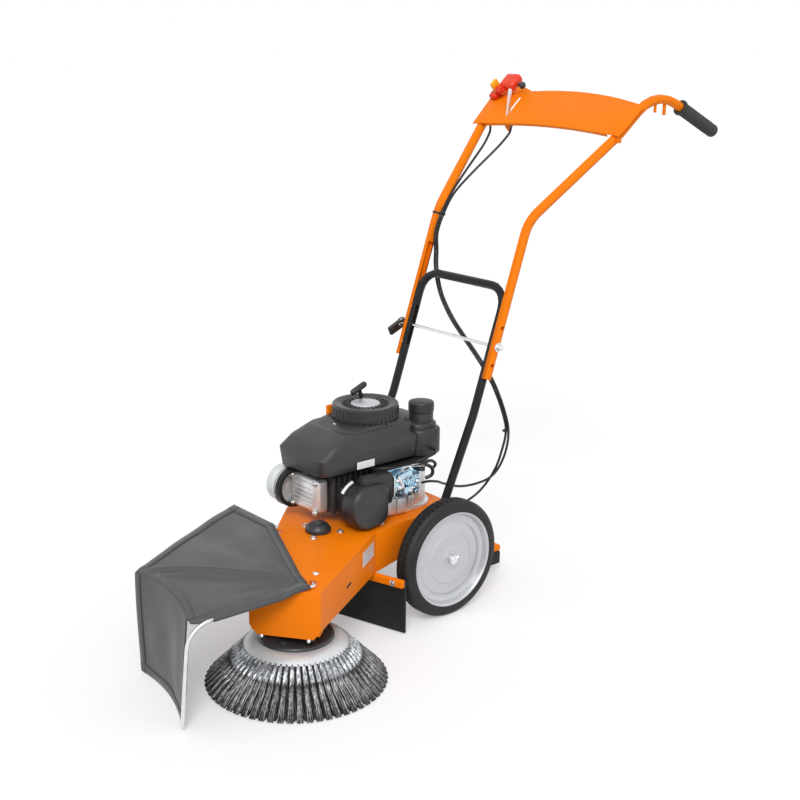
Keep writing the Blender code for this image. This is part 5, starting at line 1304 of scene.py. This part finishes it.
# Ribs, spokes and slots are (count, size, radius, height, bevel)
starter = {"at": (0, -0.094, 0),
           "ring": ((0.0735, 0.4473), (0.0759, 0.4473), (0.0759, 0.4603), (0.0775, 0.4609), (0.0775, 0.4623),
                    (0.0763, 0.4633), (0.0763, 0.4813), (0.0771, 0.4823), (0.0765, 0.4863), (0.0741, 0.4885),
                    (0.064, 0.4885), (0.061, 0.4871), (0.05, 0.4849), (0.034, 0.4845), (0.034, 0.4815),
                    (0.056, 0.4513), (0.0715, 0.4493), (0.0735, 0.4473)),
           "ribs": (44, (0.003, 0.0042, 0.0177), 0.0763, 0.4721, 0.0007),
           "spokes": (24, (0.019, 0.0024, 0.0018), 0.046, 0.4861, 0.0004),
           "slots": (36, (0.001, 0.0062, 0.009), 0.0762, 0.4543, 0.0002),
           "disc": ((0, 0.4879), (0.03, 0.4879), (0.0326, 0.4873), (0.0338, 0.4859), (0.0338, 0.4817),
                    (0, 0.4817))}


def addAround(work, centre, count, size, radius, height, bevel):
    # Small blocks evenly round an upright axis
    for a in roundAngles(count):
        addBlock(work, size, Vector(centre) + atAngle(radius, a, height), bevel, 1, turned(a))


def makeStarter():
    work = bmesh.new()
    addSpin(work, starter["ring"], starter["at"], zAxis, 96)
    addAround(work, starter["at"], *starter["ribs"])
    addAround(work, starter["at"], *starter["spokes"])
    finishPiece("starter_ring", work, "trim", "starter_housing")
    # The starter's cut slots are near-black blocks of painted shade
    work = bmesh.new()
    addAround(work, starter["at"], *starter["slots"])
    finishPiece("starter_slots", work, "dark")
    # Plain disc in the middle
    work = bmesh.new()
    addSpin(work, starter["disc"], starter["at"], zAxis, 72)
    finishPiece("starter_disc", work, "rim", slot="engine_casting")
    softenNode("starter_handle", "trim", 0.0022, 3, body="starter_pull")


tank = {"capAt": (0.04, 0.042, 0), "shoulder": ((0.172, 0.08, 0.064), (0.002, 0.033, 0.387), 0.024),
        "shelf": ((0.158, 0.074, 0.02), (0.0, 0.033, 0.421), 0.026),
        "neck": ((0, 0.418), (0.0315, 0.418), (0.0305, 0.424), (0.0292, 0.43), (0.0288, 0.45), (0, 0.45)),
        "cap": ((0, 0.4775), (0.018, 0.4775), (0.0215, 0.4768), (0.024, 0.476), (0.0285, 0.4752),
                (0.0296, 0.4734), (0.0298, 0.453), (0.0288, 0.4516), (0, 0.4516)),
        "ridges": (28, (0.0018, 0.0032, 0.019), 0.0294, 0.4632, 0.0006)}


def makeTank():
    softenNode("fuel_tank", "cover", 0.002, 3)
    # Shoulders that carry the shroud's line round the back, and the wide filler neck
    work = bmesh.new()
    addSlab(work, *tank["shoulder"], 0.006, 3)
    addSlab(work, *tank["shelf"], 0.006, 3)
    addSpin(work, tank["neck"], tank["capAt"])
    finishPiece("tank_shoulders", work, "cover")
    work = bmesh.new()
    addSpin(work, tank["cap"], tank["capAt"])
    addAround(work, tank["capAt"], *tank["ridges"])
    finishPiece("tank_cap", work, "trim", "fuel_cap", body="filler_cap")


crankcase = {"body": ((0.19, 0.176, 0.104), (0, -0.04, 0.296), 0.07),
             "flange": ((0.196, 0.182, 0.01), (0, -0.039, 0.2404), 0.062),
             # The black band round the top edge is painted shade under the tank
             "cover": ((0.198, 0.18, 0.02), (0, -0.039, 0.344), 0.066),
             "boltZ": 0.2454, "bolt": (0.005, 0.005),
             "boltsAt": ((0.0882, -0.11), (0.09114, -0.058), (0.09114, -0.02), (-0.09114, -0.058),
                         (-0.09114, -0.02), (0.0294, 0.046), (-0.0294, 0.046))}
rocker = {"panel": ((0.082, 0.004, 0.062), (-0.005, -0.2698, 0.303)), "bars": 5, "bar": (0.07, 0.0026, 0.004),
          "barAt": (-0.005, -0.2722, 0.283), "barStep": 0.01, "boltY": -0.2685, "boltX": (-0.049, 0.039),
          "boltZ": (0.268, 0.338), "bolt": (0.0052, 0.005)}


def makeCylinder():
    softenNode("cylinder", "darkAlloy", 0.0006, 1, 30)
    # Crankcase: a round-cornered casting on a flange; the black band on its top edge is painted shade under the
    # tank
    work = bmesh.new()
    addSlab(work, *crankcase["body"], 0.004, 3)
    addSlab(work, *crankcase["flange"])
    finishPiece("crankcase_casting", work, "alloy", "crankcase")
    work = bmesh.new()
    addSlab(work, *crankcase["cover"], 0.004)
    finishPiece("crankcase_shade_band", work, "trim")
    work = bmesh.new()
    for x, y in crankcase["boltsAt"]:
        addHexHead(work, (x, y, crankcase["boltZ"]), zAxis, *crankcase["bolt"], roll=y * 30)
    finishPiece("crankcase_bolts", work, "zinc")


def makeRockerCover():
    softenNode("rocker_cover", "alloy", 0.002, 3)
    work = bmesh.new()
    addBlock(work, *rocker["panel"], 0.002, 2)
    for k in range(rocker["bars"]):
        addBlock(work, rocker["bar"], Vector(rocker["barAt"]) + zAxis * k * rocker["barStep"], 0.001, 2)
    finishPiece("rocker_panel", work, "alloy")
    work = bmesh.new()
    for x in rocker["boltX"]:
        for z in rocker["boltZ"]:
            addHexHead(work, (x, rocker["boltY"], z), -yAxis, *rocker["bolt"], roll=x * 90)
    finishPiece("rocker_bolts", work, "zinc")


airFilter = {"face": (0.1396, -0.19, 0.2895), "rimX": 0.096, "rimR": 0.057, "rimThick": 0.0046,
             "rimAngles": (108, 6, 7),
             "cover": ((0, 0.0018), (0.044, 0.0018), (0.0462, 0.0012), (0.047, 0), (0, 0)),
             "box": ((0.084, 0.074, 0.026), (0.1125, -0.156, 0.319), 0.008)}


def makeAirFilter():
    softenNode("air_filter_cover", "trim", 0.003, 3)
    softenNode("air_filter_base", "trim", 0.0016)
    # The round cover's plain face, and the box behind it that feeds the carburettor
    work = bmesh.new()
    addSpin(work, airFilter["cover"], airFilter["face"], xAxis, 72)
    finishPiece("filter_face", work, "cover")
    work = bmesh.new()
    addSlab(work, *airFilter["box"], 0.003, 2, turned(pi / 2, "Y") @ turned(pi / 2))
    finishPiece("filter_box", work, "trim")
    # A silver edge of the casting shows above the cover
    work = bmesh.new()
    first, step, count = airFilter["rimAngles"]
    spots = [atAngle(airFilter["rimR"], radians(first + step * k)) for k in range(count)]
    face = Vector(airFilter["face"])
    arc = [Vector((airFilter["rimX"], face.y + spot.x, face.z + spot.y)) for spot in spots]
    addTube(work, arc, airFilter["rimThick"])
    finishPiece("filter_rim", work, "alloy")


# Blocks are (size, place, bevel, turn), tubes (places, radius), heads (place, size)
carburettor = {
    "back": ((0.014, 0.02, 0.012), (0.112, -0.021, 0.34), 0.003, 2),
    "hoses": ((((0.116, -0.03, 0.348), (0.123, -0.016, 0.352), (0.124, 0.004, 0.34), (0.12, 0.008, 0.322),
                (0.113, -0.006, 0.314)), 0.0042),
              (((0.108, -0.012, 0.35), (0.118, 0.006, 0.356), (0.116, 0.022, 0.344), (0.108, 0.022, 0.332)),
               0.0036)),
    "slabs": (((0.006, 0.104, 0.072), (0.1015, -0.072, 0.316), 0.002, 0.001, 1),
              ((0.02, 0.03, 0.034), (0.112, -0.088, 0.318), 0.005, 0.002, 2)),
    "bowl": (0.015, 0.02, (0.113, -0.064, 0.3)), "barrel": (0.006, 0.02, (0.12, -0.046, 0.326)),
    "blocks": 16, "blockSize": (0.01, 0.009, 0.006), "blockFrom": (0.11, -0.1, 0.288),
    "blockOver": (0.009, 0.068, 0.056), "blockSteps": (0.41, 0.618, 0.382),
    "body": (((0.003, 0.04, 0.014), (0.124, -0.076, 0.339), 0.0008, 0.2),
             ((0.003, 0.012, 0.03), (0.125, -0.056, 0.32), 0.0008, -0.35),
             ((0.012, 0.014, 0.01), (0.114, -0.038, 0.302), 0.0012, 0.3)),
    "plates": (((0.024, 0.004, 0.05), (0.111, -0.106, 0.317), 0.0008, 0, "X"),
               ((0.022, 0.004, 0.044), (0.111, -0.03, 0.316), 0.0008, 0, "X"),
               ((0.012, 0.042, 0.0018), (0.118, -0.07, 0.3515), 0.0005, 0.35, "Z"),
               ((0.01, 0.034, 0.0018), (0.113, -0.033, 0.3505), 0.0005, -0.55, "Z"),
               ((0.0018, 0.006, 0.034), (0.1262, -0.09, 0.326), 0.0005, 0.5, "X")),
    "rods": (((0.124, -0.094, 0.33), (0.128, -0.07, 0.336), (0.127, -0.046, 0.33), (0.122, -0.026, 0.338)),
             ((0.12, -0.086, 0.353), (0.121, -0.06, 0.358), (0.118, -0.034, 0.356), (0.112, -0.018, 0.352))),
    "rodR": 0.0011, "spring": (0.124, -0.078, 0.306), "springR": 0.003, "springRise": 0.0011,
    "springWire": 0.0006,
    "heads": (((0.1226, -0.09, 0.311), 0.005), ((0.1276, -0.064, 0.3), 0.0038),
              ((0.1226, -0.098, 0.33), 0.0036), ((0.1256, -0.042, 0.318), 0.004)),
    "topHead": ((0.112, -0.052, 0.3508), 0.0045), "headHeight": 0.004,
    "screws": 9, "screwSize": (0.0028, 0.003), "screwFrom": (0.1215, -0.101, 0.29),
    "screwOver": (0.003, 0.069, 0.052), "screwSteps": (0.37, 0.45, 0.71),
    "lugs": (((0.02, 0.024, 0.038), (0.0995, -0.102, 0.265)), ((0.018, 0.026, 0.034), (0.1, -0.072, 0.261)),
             ((0.014, 0.018, 0.026), (0.101, -0.043, 0.266)), ((0.008, 0.094, 0.008), (0.096, -0.07, 0.28)))}


def scattered(k, start, over, steps):
    # The k-th of a spread of places that looks irregular and is always the same
    return Vector([a + b * (k * c % 1) for a, b, c in zip(start, over, steps)])


def makeCarburettor():
    # Many small plated parts with dark gaps between them, over the silver casting's lugs
    work = bmesh.new()
    addBlock(work, *carburettor["back"])
    for places, radius in carburettor["hoses"]:
        addTube(work, smoothRoute(places), radius)
    finishPiece("carburettor_back", work, "trim", "carburettor")
    work = bmesh.new()
    for slab in carburettor["slabs"]:
        addSlab(work, *slab)
    for k in range(carburettor["blocks"]):
        spot = scattered(k, carburettor["blockFrom"], carburettor["blockOver"], carburettor["blockSteps"])
        addBlock(work, carburettor["blockSize"], spot, 0.0008, 1, turned(k * 1.3, "X"))
    addRound(work, *carburettor["bowl"], zAxis, 28, 0.0016)
    addRound(work, *carburettor["barrel"], yAxis, 20, 0.001)
    for size, at, bevel, turn in carburettor["body"]:
        addBlock(work, size, at, bevel, 1, turned(turn, "X"))
    finishPiece("carburettor_body", work, "blueZinc")
    work = bmesh.new()
    for size, at, bevel, turn, axis in carburettor["plates"]:
        addBlock(work, size, at, bevel, 1, turned(turn, axis))
    for places in carburettor["rods"]:
        addTube(work, smoothRoute(places), carburettor["rodR"], 3)
    coil = []
    for a in (0.5 * k for k in range(70)):
        turn = atAngle(carburettor["springR"], a)
        coil.append(Vector(carburettor["spring"]) + Vector((turn.x, carburettor["springRise"] * a, turn.y)))
    addTube(work, coil, carburettor["springWire"], 2)
    for at, size in carburettor["heads"]:
        addHexHead(work, at, xAxis, size, carburettor["headHeight"], roll=at[1] * 40)
    at, size = carburettor["topHead"]
    addHexHead(work, at, zAxis, size, carburettor["headHeight"], roll=0.2)
    for k in range(carburettor["screws"]):
        spot = scattered(k, carburettor["screwFrom"], carburettor["screwOver"], carburettor["screwSteps"])
        addHexHead(work, spot, xAxis, *carburettor["screwSize"], False, k)
    finishPiece("carburettor_levers", work, "zinc")
    # Lugs of the crankcase below it
    work = bmesh.new()
    for size, at in carburettor["lugs"]:
        addBlock(work, size, at, 0.0026, 2)
    finishPiece("crankcase_lugs", work, "alloy")


muffler = {"at": (-0.0815, -0.262, 0.305), "pipe": ((0.024, 0.01, 0.028), (-0.07, -0.2265, 0.305)),
           "shieldOut": 0.029,
           "drum": ((0, 0.0215), (0.012, 0.0215), (0.015, 0.0203), (0.018, 0.0203), (0.021, 0.0215),
                    (0.037, 0.0215), (0.041, 0.0205), (0.0436, 0.0181), (0.0445, 0.0145), (0.0445, 0.0018),
                    (0.0449, 0.0014), (0.0449, -0.0014), (0.0445, -0.0018), (0.0445, -0.0145),
                    (0.0436, -0.0181), (0.041, -0.0205), (0.037, -0.0215), (0, -0.0215)),
           "shield": ((0.038, 0.008), (0.0455, 0.008), (0.047, 0.007), (0.047, -0.007), (0.0455, -0.008),
                      (0.038, -0.008), (0.038, 0.008))}


def makeMuffler():
    centre = Vector(muffler["at"])
    work = bmesh.new()
    addSpin(work, muffler["drum"], centre, xAxis, 72)
    addBlock(work, *muffler["pipe"], 0.0012, 2)
    finishPiece("muffler_drum", work, "muffler", "muffler")
    softenNode("muffler_guard", "muffler", 0.0006, 1, 30, slot="black_paint")
    work = bmesh.new()
    addSpin(work, muffler["shield"], centre + xAxis * muffler["shieldOut"], xAxis)
    finishPiece("muffler_shield", work, "black")


makeShroud()
makeStarter()
makeTank()
makeCylinder()
makeRockerCover()
makeAirFilter()
makeCarburettor()
makeMuffler()
print("engine made")


# Floor, light and background

stage = {"size": 30, "floor": (0.7, 0.7, 0.7), "glow": 0.32, "sky": (0.98, 0.99, 1.0), "skyStrength": 0.64,
         "sun": 1.75, "softness": 0.42, "sunWay": (-0.75, 0.66, -0.95)}


def brightRays(owner):
    # One for the rays that look at the room or mirror it
    rays = addNode(owner, "ShaderNodeLightPath")
    kind = rays.outputs["Is Camera Ray"]
    for name in ("Is Glossy Ray", "Is Transmission Ray"):
        larger = addNode(owner, "ShaderNodeMath", operation="MAXIMUM")
        link(owner, kind, larger.inputs[0])
        link(owner, rays.outputs[name], larger.inputs[1])
        kind = larger.outputs["Value"]
    return kind


def chooseForRays(owner, usual, seen):
    # The first shader, or the second for the bright rays
    choose = addNode(owner, "ShaderNodeMixShader")
    link(owner, brightRays(owner), choose.inputs["Fac"])
    link(owner, usual, choose.inputs[1])
    link(owner, seen, choose.inputs[2])
    return choose.outputs["Shader"]


def makeStage():
    # The floor keeps the machine's shadow, and its own glow brings it up to white for the camera alone
    work = bmesh.new()
    bmesh.ops.create_grid(work, x_segments=1, y_segments=1, size=stage["size"])
    mesh = bpy.data.meshes.new("floor")
    work.to_mesh(mesh)
    work.free()
    made = newMaterial("paleFloor", stage["floor"], 0.9, Specular_IOR_Level=0.0)
    glow = addNode(made, "ShaderNodeEmission", Strength=stage["glow"])
    unlit = addNode(made, "ShaderNodeEmission", Strength=0.0)
    both = addNode(made, "ShaderNodeAddShader")
    link(made, shaderOf(made).outputs["BSDF"], both.inputs[0])
    link(made, chooseForRays(made, unlit.outputs["Emission"], glow.outputs["Emission"]), both.inputs[1])
    link(made, both.outputs["Shader"], made.node_tree.nodes["Material Output"].inputs["Surface"])
    mesh.materials.append(made)
    floor = bpy.data.objects.new("floor", mesh)
    bpy.context.scene.collection.objects.link(floor)


def lightScene():
    data = bpy.data.lights.new("softSun", "SUN")
    data.energy = stage["sun"]
    data.angle = stage["softness"]
    sun = bpy.data.objects.new("softSun", data)
    sun.rotation_euler = Vector(stage["sunWay"]).to_track_quat("-Z", "Y").to_euler()
    bpy.context.scene.collection.objects.link(sun)
    world = bpy.data.worlds.new("paleRoom")
    bpy.context.scene.world = world
    world.use_nodes = True
    light = world.node_tree.nodes["Background"]
    light.inputs["Color"].default_value = (*stage["sky"], 1)
    light.inputs["Strength"].default_value = stage["skyStrength"]
    seen = addNode(world, "ShaderNodeBackground", Color=(1, 1, 1, 1), Strength=1.0)
    background = chooseForRays(world, light.outputs["Background"], seen.outputs["Background"])
    link(world, background, world.node_tree.nodes["World Output"].inputs["Surface"])
    bpy.context.scene.view_settings.view_transform = "Standard"


makeStage()
lightScene()
print("stage and lights set")
